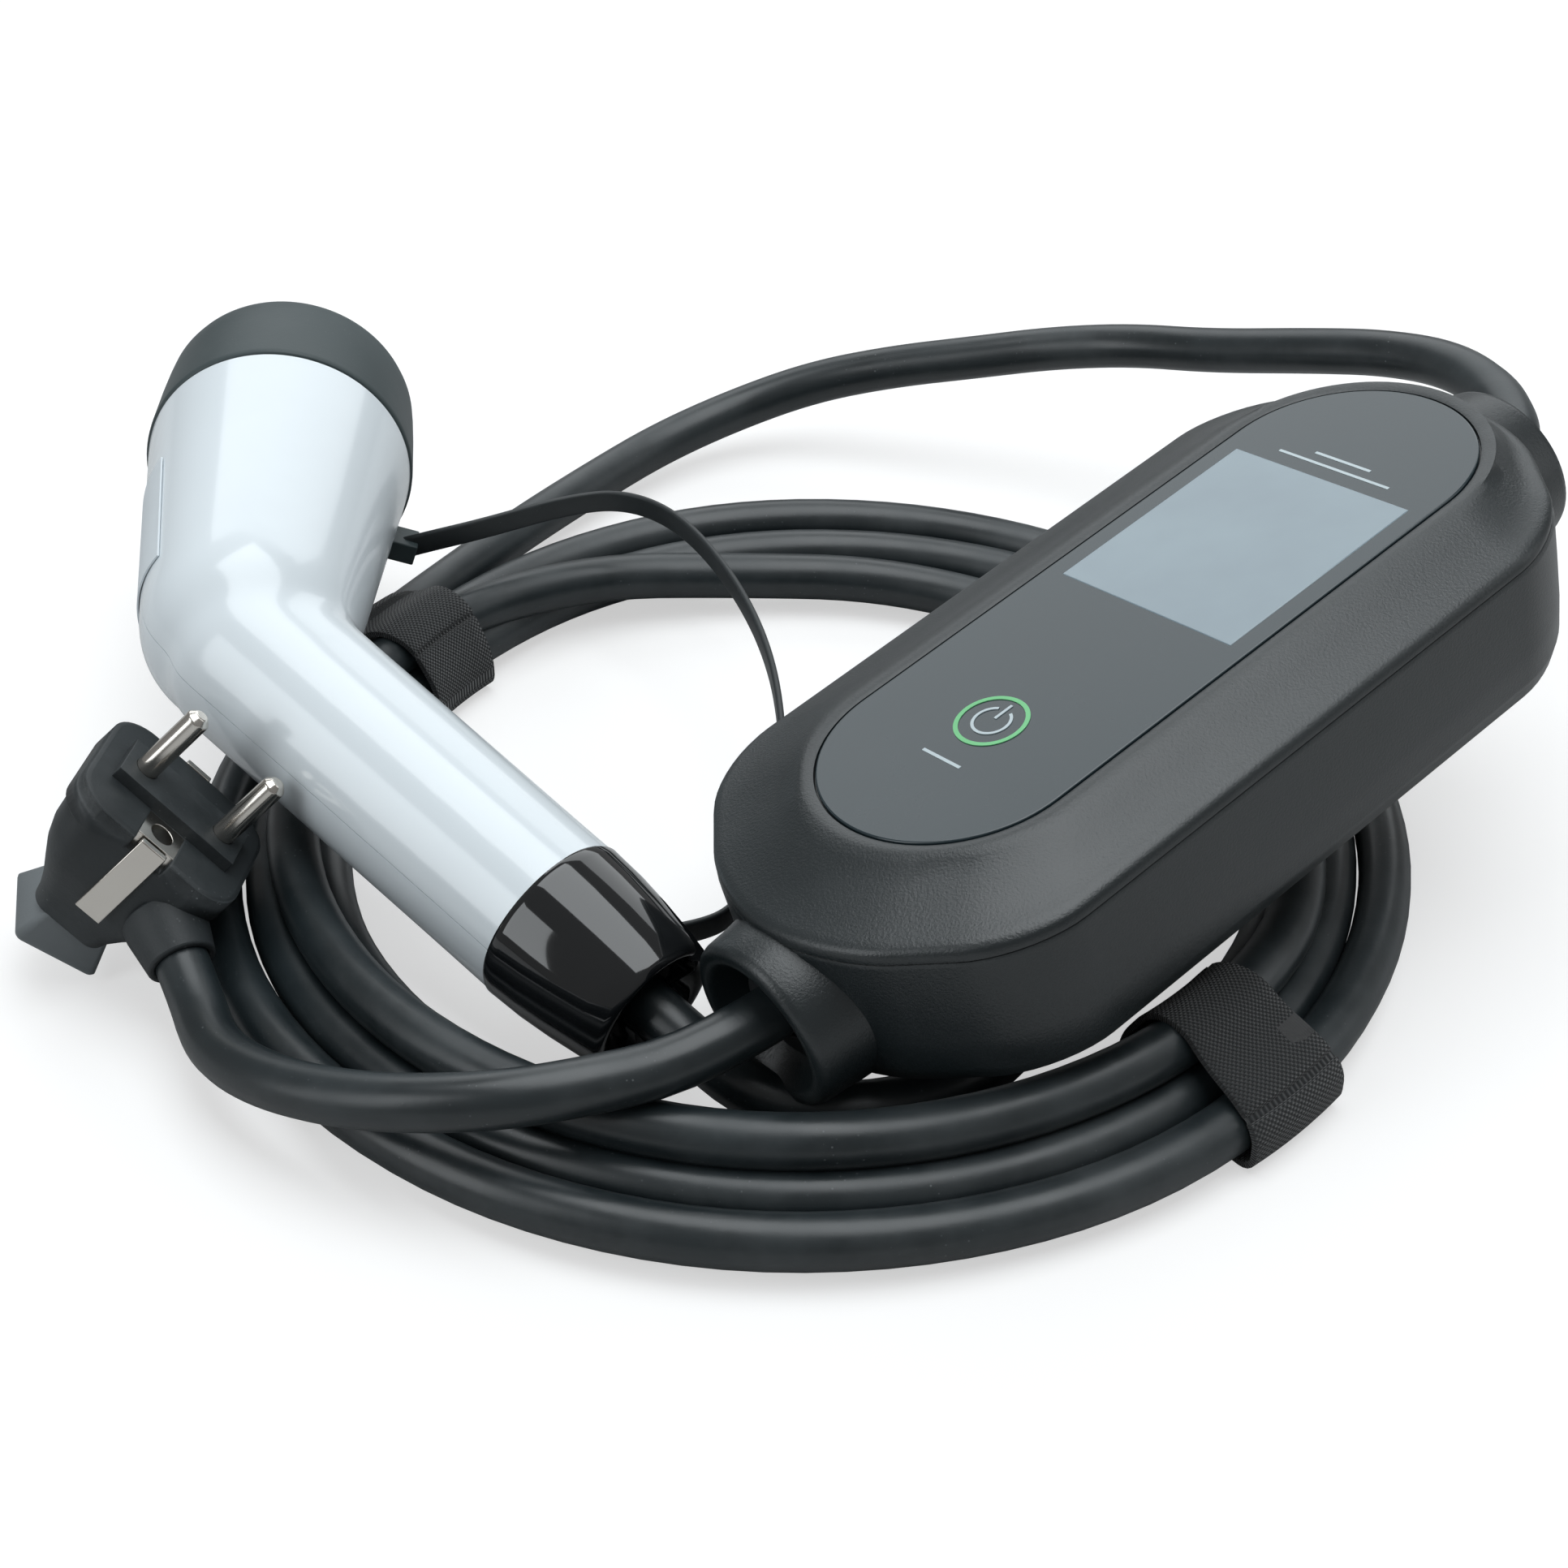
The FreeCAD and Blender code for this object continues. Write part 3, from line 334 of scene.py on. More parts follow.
def build_materials(settings):
    for name, build in (("Moulded grain", build_grain), ("Dust specks", build_dust),
                        ("Edge wear", build_wear), ("Band weave", build_weave)):
        GROUPS[name] = build()
    shell = tuple(settings.shell_colour)
    cable = tuple(settings.cable_colour)
    finish("white_shell", shell, tuple(c * 0.985 for c in shell), 0.20, 0.04, 900.0, 0.00002, 0.12,
           Coat_Weight=0.5, Coat_Roughness=0.08)
    finish("label", (0.66, 0.72, 0.76), (0.70, 0.76, 0.80), 0.42, 0.06, 1800.0, 0.00002, 0.2)
    finish("black_housing", (0.0055, 0.0100, 0.0118), (0.0085, 0.0140, 0.0162), 0.36, 0.06, 1900.0,
           0.00009, 0.9, dust=0.06, wear=0.35, wear_colour=(0.07, 0.08, 0.085), Specular_IOR_Level=0.75)
    finish("plate", (0.014, 0.027, 0.033), (0.018, 0.032, 0.039), 0.22, 0.06, 1400.0, 0.00002, 0.15,
           dust=0.06, Coat_Weight=0.3, Coat_Roughness=0.1)
    finish("window", (0.20, 0.26, 0.30), (0.23, 0.30, 0.34), 0.16, 0.04, 900.0, 0.00001, 0.08,
           Coat_Weight=0.5, Coat_Roughness=0.05)
    finish("print", (0.14, 0.50, 0.20), (0.17, 0.56, 0.24), 0.35, 0.05)
    finish("grey_print", (0.46, 0.54, 0.57), (0.52, 0.60, 0.63), 0.4, 0.05)
    finish("cap_rubber", (0.036, 0.052, 0.055), (0.052, 0.070, 0.074), 0.50, 0.10, 1600.0, 0.00005, 0.5,
           dust=0.35, Specular_IOR_Level=0.45)
    finish("strap_rubber", (0.020, 0.024, 0.026), (0.030, 0.035, 0.037), 0.48, 0.1, 1500.0, 0.00004, 0.4,
           dust=0.25)
    finish("black_gloss", (0.006, 0.007, 0.008), (0.010, 0.011, 0.012), 0.07, 0.03, 700.0, 0.00001, 0.06,
           Coat_Weight=0.6, Coat_Roughness=0.03)
    finish("insulator", (0.02, 0.02, 0.022), (0.03, 0.03, 0.033), 0.45)
    finish("plug_black", (0.012, 0.016, 0.018), (0.026, 0.032, 0.035), 0.56, 0.12, 1500.0, 0.00007, 0.7,
           dust=0.5, wear=0.5, wear_colour=(0.11, 0.12, 0.125))
    finish("flare_grey", (0.15, 0.17, 0.18), (0.19, 0.21, 0.22), 0.6, 0.1, 1500.0, 0.00006, 0.6,
           dust=0.3)
    finish("nickel", (0.66, 0.62, 0.57), (0.74, 0.71, 0.66), 0.20, 0.12, 420.0, 0.00002, 0.25,
           Metallic=1.0)
    finish("silver_contact", (0.72, 0.71, 0.69), (0.78, 0.77, 0.75), 0.28, 0.1, Metallic=1.0)
    finish("cable_sheath", cable, tuple(c * 1.7 for c in cable), 0.36, 0.16, 1300.0, 0.00005, 0.35,
           dust=0.45, Specular_IOR_Level=0.65)
    finish("tie_webbing", (0.003, 0.0035, 0.004), (0.020, 0.023, 0.025), 0.75, 0.1, depth=0.00035,
           strength=0.9, weave=1.0, Sheen_Weight=0.25, Sheen_Roughness=0.5)
    finish("seal_rubber", (0.016, 0.018, 0.02), (0.024, 0.026, 0.028), 0.5, dust=0.2)
    finish("board_green", (0.01, 0.09, 0.04), (0.02, 0.13, 0.06), 0.4)
    finish("component", (0.03, 0.03, 0.04), (0.06, 0.06, 0.07), 0.5)
    finish("steel", (0.5, 0.5, 0.51), (0.6, 0.6, 0.61), 0.35, 0.1, 500.0, Metallic=1.0)


# ---------------------------------------------------------------- mesh helpers
def soften(bm, angle=38.0):
    """Smooth shading with sharp edges where two faces meet at more than the angle."""
    for face in bm.faces:
        face.smooth = True
    for edge in bm.edges:
        if len(edge.link_faces) == 2:
            edge.smooth = edge.calc_face_angle(0.0) < radians(angle)


def make_piece(name, bm, matrix, material, body="root", replaces=(), angle=38.0,
               outward=True):
    """Object at the origin from a mesh drawn in a unit's own millimetres."""
    bmesh.ops.transform(bm, matrix=matrix, verts=bm.verts)
    if outward:
        bmesh.ops.recalc_face_normals(bm, faces=bm.faces)
    soften(bm, angle)
    mesh = bpy.data.meshes.new(name)
    bm.to_mesh(mesh)
    bm.free()
    mesh.materials.append(MATERIALS[material])
    piece = bpy.data.objects.new(name, mesh)
    bpy.context.scene.collection.objects.link(piece)
    if replaces:
        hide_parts(*replaces)
    if body:
        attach(piece, body)
    return piece


def add_bevel(piece, width, segments=3, angle=35.0):
    bevel = piece.modifiers.new("Edge", "BEVEL")
    bevel.width = width * MM
    bevel.segments = segments
    bevel.limit_method = "ANGLE"
    bevel.angle_limit = radians(angle)
    bevel.harden_normals = False
    return piece


def dress(node, material, body="root", bevel=0.0, angle=30.0):
    """The frame's own shape for a node, merged, with rounded edges and a finish."""
    bm = bmesh.new()
    bm.from_mesh(NODES[node].data)
    bmesh.ops.remove_doubles(bm, verts=bm.verts, dist=1e-6)
    bmesh.ops.dissolve_limit(bm, angle_limit=radians(0.4), verts=bm.verts, edges=bm.edges)
    piece = make_piece(node + "_piece", bm, WORLD, material, body, (node,), angle, outward=False)
    if bevel:
        add_bevel(piece, bevel)
    return piece


def spun(profile, segments=96):
    """Solid of revolution about local z of an open profile of (radius, height) from axis to axis."""
    bm = bmesh.new()
    verts = [bm.verts.new((r, 0, h)) for r, h in profile]
    edges = [bm.edges.new(pair) for pair in zip(verts, verts[1:])]
    bmesh.ops.spin(bm, geom=verts + edges, cent=(0, 0, 0), axis=(0, 0, 1), dvec=(0, 0, 0),
                   angle=2 * pi, steps=segments, use_merge=True)
    bmesh.ops.remove_doubles(bm, verts=bm.verts, dist=1e-4)
    return bm


def lathe_y():
    """Turns a shape drawn about z to lie about y."""
    return Matrix.Rotation(-pi / 2, 4, "X")


def housing_corners(half_length, half_width, centre):
    """Corners of the housing's long eight-sided outline."""
    cut = 0.75 * half_length
    flat = 0.33 * half_width
    quarter = [(half_length, flat), (cut, half_width)]
    points = [(centre + x, y) for x, y in quarter]
    points += [(centre - x, y) for x, y in reversed(quarter)]
    points += [(centre - x, -y) for x, y in quarter]
    points += [(centre + x, -y) for x, y in reversed(quarter)]
    return points


def lofted(levels, centre=-7.0, round_to=13.0, corners=housing_corners):
    """Solid through an outline at each level (height, half length, half width, shift)."""
    bm = bmesh.new()
    height, length, width, shift = levels[0]
    verts = [bm.verts.new((x, y, height)) for x, y in corners(length, width, centre)]
    base = bm.faces.new(verts)
    bmesh.ops.bevel(bm, geom=list(base.verts), offset=round_to, offset_type="OFFSET", segments=9,
                    profile=0.5, affect="VERTICES", material=-1)
    bm.faces.ensure_lookup_table()
    face = bm.faces[0]
    for next_height, next_length, next_width, next_shift in levels[1:]:
        result = bmesh.ops.extrude_face_region(bm, geom=[face])
        new_verts = [item for item in result["geom"] if isinstance(item, bmesh.types.BMVert)]
        face = [item for item in result["geom"] if isinstance(item, bmesh.types.BMFace)][0]
        middle = centre + shift
        about = Matrix.Translation((-middle, 0, 0))
        grow = Matrix.Diagonal((next_length / length, next_width / width, 1, 1))
        back = Matrix.Translation((centre + next_shift, 0, next_height - height))
        bmesh.ops.transform(bm, matrix=back @ grow @ about, verts=new_verts)
        height, length, width, shift = next_height, next_length, next_width, next_shift
    return bm


def cuboid(centre, size):
    """Box about a centre."""
    bm = bmesh.new()
    bmesh.ops.create_cube(bm, size=1.0)
    place = Matrix.Translation(centre) @ Matrix.Diagonal((*size, 1))
    bmesh.ops.transform(bm, matrix=place, verts=bm.verts)
    return bm


def square_corners(half_length, half_width, centre=0.0):
    """Corners of a plain rectangle."""
    return [(centre + half_length, half_width), (centre - half_length, half_width),
            (centre - half_length, -half_width), (centre + half_length, -half_width)]


def round_ended_face(bm, half_length, half_width, height, segments):
    """Flat face with two half-round ends."""
    verts = [bm.verts.new((x, y, height)) for x, y in square_corners(half_length, half_width)]
    bm.faces.new(verts)
    bmesh.ops.bevel(bm, geom=verts, offset=half_width * 0.995, offset_type="OFFSET", segments=segments,
                    profile=0.5, affect="VERTICES", material=-1)


def join_into(bm, other):
    """Adds another mesh's geometry to this one."""
    spare = bpy.data.meshes.new("spare")
    other.to_mesh(spare)
    other.free()
    bm.from_mesh(spare)
    bpy.data.meshes.remove(spare)
    return bm


def evaluated_bmesh(piece):
    ready = piece.evaluated_get(bpy.context.evaluated_depsgraph_get())
    bm = bmesh.new()
    bm.from_mesh(ready.to_mesh())
    ready.to_mesh_clear()
    return bm


def remeshed(bm, voxel, rounds, factor=0.5):
    """One smooth skin over overlapping solids, in millimetres."""
    mesh = bpy.data.meshes.new("blank")
    bm.to_mesh(mesh)
    bm.free()
    blank = bpy.data.objects.new("blank", mesh)
    bpy.context.scene.collection.objects.link(blank)
    remesh = blank.modifiers.new("Skin", "REMESH")
    remesh.mode = "VOXEL"
    remesh.voxel_size = voxel
    smooth = blank.modifiers.new("Soften", "SMOOTH")
    smooth.factor = factor
    smooth.iterations = rounds
    bpy.context.view_layer.update()
    skin = evaluated_bmesh(blank)
    bpy.data.objects.remove(blank)
    bpy.data.meshes.remove(mesh)
    return skin


def cut_away(bm, cutter):
    """The first mesh less the second."""
    blanks = []
    for name, source in (("whole", bm), ("cutter", cutter)):
        mesh = bpy.data.meshes.new(name)
        bmesh.ops.recalc_face_normals(source, faces=source.faces)
        source.to_mesh(mesh)
        source.free()
        blank = bpy.data.objects.new(name, mesh)
        bpy.context.scene.collection.objects.link(blank)
        blanks.append(blank)
    less = blanks[0].modifiers.new("Less", "BOOLEAN")
    less.operation = "DIFFERENCE"
    less.solver = "EXACT"
    less.object = blanks[1]
    bpy.context.view_layer.update()
    result = evaluated_bmesh(blanks[0])
    for blank in blanks:
        mesh = blank.data
        bpy.data.objects.remove(blank)
        bpy.data.meshes.remove(mesh)
    return result


def keep_side(bm, point, normal):
    """Cuts the mesh by a plane, keeps what the normal points away from, and closes the cut."""
    cut = bmesh.ops.bisect_plane(bm, geom=bm.verts[:] + bm.edges[:] + bm.faces[:], plane_co=point,
                                 plane_no=normal, clear_outer=True, clear_inner=False)
    rim = [item for item in cut["geom_cut"] if isinstance(item, bmesh.types.BMEdge)]
    bmesh.ops.holes_fill(bm, edges=rim, sides=0)
    return bm


# ---------------------------------------------------------------- cords
def cord_curve(name, points, diameter):
    curve = bpy.data.curves.new(name, "CURVE")
    curve.dimensions = "3D"
    spline = curve.splines.new("NURBS")
    spline.points.add(len(points) - 1)
    for point, place in zip(spline.points, points):
        point.co = (*place, 1.0)
    spline.order_u = 3
    spline.use_endpoint_u = True
    curve.resolution_u = 6
    curve.bevel_depth = diameter / 2
    curve.bevel_resolution = 7
    curve.use_fill_caps = True
    curve.materials.append(MATERIALS["cable_sheath"])
    cord = bpy.data.objects.new(name, curve)
    bpy.context.scene.collection.objects.link(cord)
    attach(cord, "root")
    return cord


def plug_direction():
    """Way the lead leaves the plug's side."""
    turn = PLUG.to_3x3().normalized()
    return turn @ Vector((0.7, 0.0, 0.714))


def build_cords(settings):
    """The plug's lead, and the output cable with all its turns as one line."""
    diameter = settings.cable_diameter
    plug_side = PLUG @ Vector((0, -13, 0))
    away = plug_direction() * MM
    points = [plug_side + away * 21, plug_side + away * 34]
    points += [row_point(*p) for p in PLUG_LEAD_ROUTE]
    points += [BOX @ Vector(NEAR_GLAND_OUT), BOX @ Vector(NEAR_GLAND)]
    lead = cord_curve("mains_lead", points, diameter)
    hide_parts("plug_lead")

    tail = row_point(*BEND) + HANDLE_AXIS * CABLE_END * MM
    tail_out = row_point(*BEND) + HANDLE_AXIS * CABLE_CLEAR * MM
    points = [BOX @ Vector(FAR_GLAND), BOX @ Vector(FAR_GLAND_OUT)]
    points += [row_point(*p) for p in OUTPUT_LEAD_ROUTE]
    points += coil_turns()
    points += [row_point(*p) for p in reversed(CONNECTOR_LEAD_ROUTE)]
    points += [tail_out, tail]
    cable = cord_curve("output_cable", points, diameter)
    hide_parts("output_lead", "output_coil", "connector_lead")


# ---------------------------------------------------------------- control box
def build_lower_housing():
    """Tray of the control box with a flared cable entry at each end."""
    bm = lofted([
        (-9.35, 92.6, 43.4, 0), (-9.35, 93.6, 44.1, 0), (-10.2, 93.9, 44.4, 0), (-18, 93.8, 44.2, 0),
        (-28, 93.5, 43.9, 0), (-35, 93.0, 43.4, 0), (-38.4, 92.0, 42.4, 0), (-40.0, 90.4, 40.8, 0),
        (-40.8, 88.0, 38.4, 0), (-41.0, 85.6, 36.0, 0)])
    for face_x, out in ((-108.0, -1), (96.2, 1)):
        reach = abs(face_x) - (88 if out < 0 else 80)
        profile = [(0.0, -reach), (18.9, -reach), (18.3, -reach * 0.5), (17.8, -6.0), (17.5, -2.0),
                   (17.1, -0.8), (16.2, -0.1), (14.9, 0.0), (14.0, -0.2), (13.4, -1.0), (11.6, -3.2),
                   (10.2, -5.4), (9.3, -7.0), (9.05, -9.0), (0.0, -9.0)]
        collar = spun(profile, 72)
        turn = Matrix.Rotation(out * pi / 2, 4, "Y")
        place = Matrix.Translation((face_x, 0, GLAND_Z)) @ turn
        bmesh.ops.transform(collar, matrix=place, verts=collar.verts)
        join_into(bm, collar)
    make_piece("lower_housing", bm, BOX, "black_housing", replaces=("bottom_housing", "housing_seal"),
               angle=50)


# rims of the recess for the face plate: half length, half width, height
PLATE_RECESS = [(81.2, 29.4, 0.0), (79.2, 27.6, 0.05), (78.4, 26.8, -0.25), (78.3, 26.7, -1.3)]


def build_upper_housing():
    """Lid of the control box, with the recess for the face plate."""
    bm = lofted([
        (-9.1, 92.6, 43.4, 0), (-9.1, 93.6, 44.1, 0), (-7.6, 93.7, 44.2, 0), (-6.6, 93.4, 43.9, 0),
        (-5.9, 92.7, 43.2, 0), (-5.4, 91.7, 42.2, 0.2), (-5.0, 90.4, 40.8, 0.4), (-3.9, 87.9, 37.6, 1.8),
        (-2.3, 85.0, 34.3, 4.0), (-0.9, 82.6, 31.8, 5.7)])
    bm.faces.ensure_lookup_table()
    top = max(bm.faces, key=lambda f: f.calc_center_median().z if len(f.verts) > 8 else -1e9)
    rims = [list(top.edges)]
    bmesh.ops.delete(bm, geom=[top], context="FACES_ONLY")
    for half_length, half_width, height in PLATE_RECESS:
        round_ended_face(bm, half_length, half_width, height, 20)
        face = [f for f in bm.faces if len(f.verts) > 60 and abs(f.calc_center_median().x) < 1.0
                and abs(f.calc_center_median().z - height) < 0.01][-1]
        rims.append(list(face.edges))
        bmesh.ops.delete(bm, geom=[face], context="FACES_ONLY")
    for first, second in zip(rims, rims[1:]):
        bmesh.ops.bridge_loops(bm, edges=first + second)
    bmesh.ops.holes_fill(bm, edges=rims[-1], sides=0)
    make_piece("upper_housing", bm, BOX, "black_housing", replaces=("top_housing",), angle=40)


def build_plate():
    """Round-ended plate let into the upper housing."""
    bm = bmesh.new()
    round_ended_face(bm, 78.0, 26.4, -1.3, 24)
    result = bmesh.ops.extrude_face_region(bm, geom=bm.faces[:])
    verts = [item for item in result["geom"] if isinstance(item, bmesh.types.BMVert)]
    bmesh.ops.translate(bm, verts=verts, vec=(0, 0, 1.3))
    piece = make_piece("face_plate_piece", bm, BOX, "plate", replaces=("face_plate",))
    add_bevel(piece, 0.35)


def build_face():
    """Plate with the display pane, the touch ring, its symbol and three printed dashes."""
    build_plate()
    pane = cuboid((21.3, 0, -0.44), (49.2, 44.4, 1.12))
    pane = make_piece("display_pane", pane, BOX, "window", replaces=("display_window",))
    add_bevel(pane, 0.25)
    to_button = Matrix.Translation((-42.9, 0, 0))
    ring = spun([(6.3, 0.0), (6.3, 0.16), (7.2, 0.16), (7.2, 0.0)], 64)
    bmesh.ops.transform(ring, matrix=to_button, verts=ring.verts)
    make_piece("touch_ring_piece", ring, BOX, "print", replaces=("touch_ring",))
    symbol = bmesh.new()
    section = ((3.36, 0.0), (3.36, 0.16), (3.96, 0.16), (3.96, 0.0))
    verts = [symbol.verts.new((r, 0, h)) for r, h in section]
    edges = [symbol.edges.new(pair) for pair in zip(verts, verts[1:])]
    bmesh.ops.rotate(symbol, verts=verts, cent=(0, 0, 0), matrix=Matrix.Rotation(radians(25), 3, "Z"))
    bmesh.ops.spin(symbol, geom=verts + edges, cent=(0, 0, 0), axis=(0, 0, 1), dvec=(0, 0, 0),
                   angle=radians(310), steps=40, use_merge=False)
    join_into(symbol, cuboid((3.0, 0, 0.08), (4.4, 0.6, 0.16)))
    bmesh.ops.transform(symbol, matrix=to_button, verts=symbol.verts)
    make_piece("power_symbol_piece", symbol, BOX, "grey_print", replaces=("power_symbol",))
    dashes = bmesh.new()
    for x, length in ((49.6, 28.0), (52.4, 14.0), (-55.5, 10.0)):
        join_into(dashes, cuboid((x, 0, 0.03), (0.7, length, 0.06)))
    make_piece("plate_dashes", dashes, BOX, "grey_print")


def build_control_box():
    build_lower_housing()
    build_upper_housing()
    build_face()
    for node in ("near_grommet", "far_grommet"):
        dress(node, "seal_rubber", bevel=0.4)


# ---------------------------------------------------------------- connector
HEAD_LENGTH = 70.0
HANDLE_LENGTH = 88.9
HALF_SEAM = 0.06


def connector_skin():
    """Head and handle as one smooth skin, in the connector's millimetres."""
    head = spun([(0, -12.0), (5, -11.6), (9, -10.6), (14, -8.0), (18.4, -3.8), (21.0, 1.2), (22.0, 5.0),
                 (24.0, 25.0), (26.3, 48.0), (28.75, 72.0), (29.6, 82.0), (0, 82.0)])
    bmesh.ops.transform(head, matrix=lathe_y(), verts=head.verts)
    handle = spun([(0, -4), (16.5, -4), (18.2, 0), (18.0, 20), (17.8, 50), (17.6, 75), (17.5, 102),
                   (0, 102)])
    local = Matrix((INNER_SIDE, (0, 0, -1), HANDLE_LOCAL)).transposed().to_4x4()
    bmesh.ops.transform(handle, matrix=local, verts=handle.verts)
    join_into(head, handle)
    bmesh.ops.recalc_face_normals(head, faces=head.faces)
    return remeshed(head, 0.9, 60, 0.8)


def build_shell():
    """The smooth skin cut at nose and tail and split along the seam."""
    for name, node, sign in (("shell_upper_half", "connector_shell_upper", 1),
                             ("shell_lower_half", "connector_shell_lower", -1)):
        skin = connector_skin()
        keep_side(skin, (0, HEAD_LENGTH, 0), (0, 1, 0))
        keep_side(skin, HANDLE_LOCAL * HANDLE_LENGTH, HANDLE_LOCAL)
        keep_side(skin, (0, 0, HALF_SEAM * sign), (0, 0, -sign))
        make_piece(name, skin, CONNECTOR, "white_shell", replaces=(node,), angle=45)


def build_cap():
    """Hollow cap with the strap's lug on its side."""
    profile = [(0, 99.7), (10, 99.75), (20, 99.6), (23.5, 99.2), (25.6, 98.4), (26.8, 97.0),
               (27.4, 95.0), (27.8, 91.0), (28.3, 84.0), (28.7, 76.0), (28.9, 72.0), (28.9, 70.9),
               (28.6, 70.4), (28.0, 70.3), (26.0, 70.3), (25.6, 70.6), (25.5, 72.0), (25.5, 96.6),
               (0, 96.6)]
    bm = spun(profile, 128)
    bmesh.ops.transform(bm, matrix=lathe_y(), verts=bm.verts)
    join_into(bm, cuboid((29.2, 73.8, -13.5), (9.6, 7.0, 5.0)))
    piece = make_piece("cap_piece", bm, CONNECTOR, "cap_rubber", body="cap",
                       replaces=("protective_cap",), angle=55)
    add_bevel(piece, 0.3, 2, 50)


def build_tail():
    profile = [(9.5, 94.0), (14.6, 84), (17.5, 88.95), (17.7, 89.3), (17.6, 91.0), (17.3, 97.0),
               (16.5, 104.0), (15.4, 111.0), (14.6, 115.2), (14.0, 116.4), (13.3, 116.6), (12.6, 116.3),
               (12.0, 115.0), (10.6, 111.0), (9.6, 107.6), (9.5, 100.0), (9.5, 94.0)]
    bm = spun(profile, 96)
    wedge = bmesh.new()
    corners = [(-3.4, 118.0), (3.4, 118.0), (0.9, 103.0), (-0.9, 103.0)]
    low = [wedge.verts.new((x, -11.5, z)) for x, z in corners]
    wedge.faces.new(low)
    grown = bmesh.ops.extrude_face_region(wedge, geom=wedge.faces[:])
    high = [item for item in grown["geom"] if isinstance(item, bmesh.types.BMVert)]
    bmesh.ops.translate(wedge, verts=high, vec=(0, -12, 0))
    bmesh.ops.rotate(wedge, verts=wedge.verts, cent=(0, 0, 0),
                     matrix=Matrix.Rotation(radians(38), 3, "Z"))
    bm = cut_away(bm, wedge)
    make_piece("tail_nut_piece", bm, HANDLE, "black_gloss", replaces=("tail_nut",), angle=50)
    dress("tail_seal", "seal_rubber", bevel=0.3)
    dress("tail_collet", "black_gloss")
    dress("strap_anchor", "cap_rubber", bevel=0.5)


def build_strap():
    """Flat strap swept along its route, from the cap's lug at one end."""
    curve = bpy.data.curves.new("strap_line", "CURVE")
    curve.dimensions = "3D"
    curve.twist_mode = "Z_UP"
    spline = curve.splines.new("NURBS")
    spline.points.add(len(STRAP_ROUTE) - 1)
    for point, place in zip(spline.points, STRAP_ROUTE):
        point.co = (*row_point(*place), 1.0)
    spline.order_u = 3
    spline.use_endpoint_u = True
    curve.resolution_u = 8
    curve.extrude = 1.9 * MM
    curve.bevel_depth = 0.7 * MM
    curve.bevel_resolution = 3
    curve.use_fill_caps = True
    line = bpy.data.objects.new("strap_line", curve)
    bpy.context.scene.collection.objects.link(line)
    bpy.context.view_layer.update()
    bm = evaluated_bmesh(line)
    bpy.data.objects.remove(line)
    bmesh.ops.remove_doubles(bm, verts=bm.verts, dist=1e-6)
    piece = make_piece("strap_piece", bm, WORLD, "strap_rubber", body=None,
                       replaces=("cap_strap",), angle=50)
    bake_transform(piece)


# ---------------------------------------------------------------- mains plug
def build_plug():
    """Body that narrows to a square flare, with pins, earth parts and the lead's sleeve."""
    back = Matrix.Rotation(-pi / 2, 4, "X")
    body = lofted([
        (0.0, 17.9, 16.0, 0), (-0.5, 18.5, 16.6, 0), (-6.2, 18.6, 16.6, 0), (-6.8, 17.7, 16.5, 0),
        (-12, 16.8, 16.3, 0), (-16, 15.2, 15.9, 0), (-20, 12.9, 14.6, 0), (-24, 10.7, 12.4, 0),
        (-28, 9.0, 10.2, 0), (-31, 8.2, 9.0, 0)], 0.0, 7.5, square_corners)
    bmesh.ops.transform(body, matrix=back, verts=body.verts)
    body = cut_away(body, cuboid((0, -1.2, 11.9), (8.2, 4.6, 11.4)))
    piece = make_piece("plug_body_piece", body, PLUG, "plug_black", replaces=("plug_body",), angle=35)
    add_bevel(piece, 0.4, 2, 30)
    flare = lofted([
        (-26, 7.0, 7.0, 0), (-31, 7.4, 7.4, 0), (-37.2, 9.3, 9.3, 0), (-38.0, 9.0, 9.0, 0)],
        0.0, 1.2, square_corners)
    bmesh.ops.transform(flare, matrix=Matrix.Rotation(radians(20), 4, "Y") @ back, verts=flare.verts)
    piece = make_piece("plug_grip_piece", flare, PLUG, "flare_grey", replaces=("plug_grip",), angle=35)
    add_bevel(piece, 0.4, 2, 30)
    dress("plug_bridge", "plug_black", bevel=0.35)
    dress("plug_strain_relief", "plug_black", bevel=0.5)
    dress("plug_pins", "nickel", bevel=0.25)
    dress("earth_strips", "nickel", bevel=0.25)
    dress("earth_socket", "nickel", bevel=0.2)


# ---------------------------------------------------------------- bands round the coil
TIE_OUTLINE = [
    (90.9, 1.1), (90.9, 9.5), (94.2, 15.6), (97.4, 20.4), (105.6, 21.6), (110.6, 17.6), (120.0, 13.6),
    (125.0, 9.8), (125.0, 1.1)]
TIE_HALF_WIDTH = 11.5
COIL_MEAN_R = 110.0
THREADS_PER_MM = 0.9


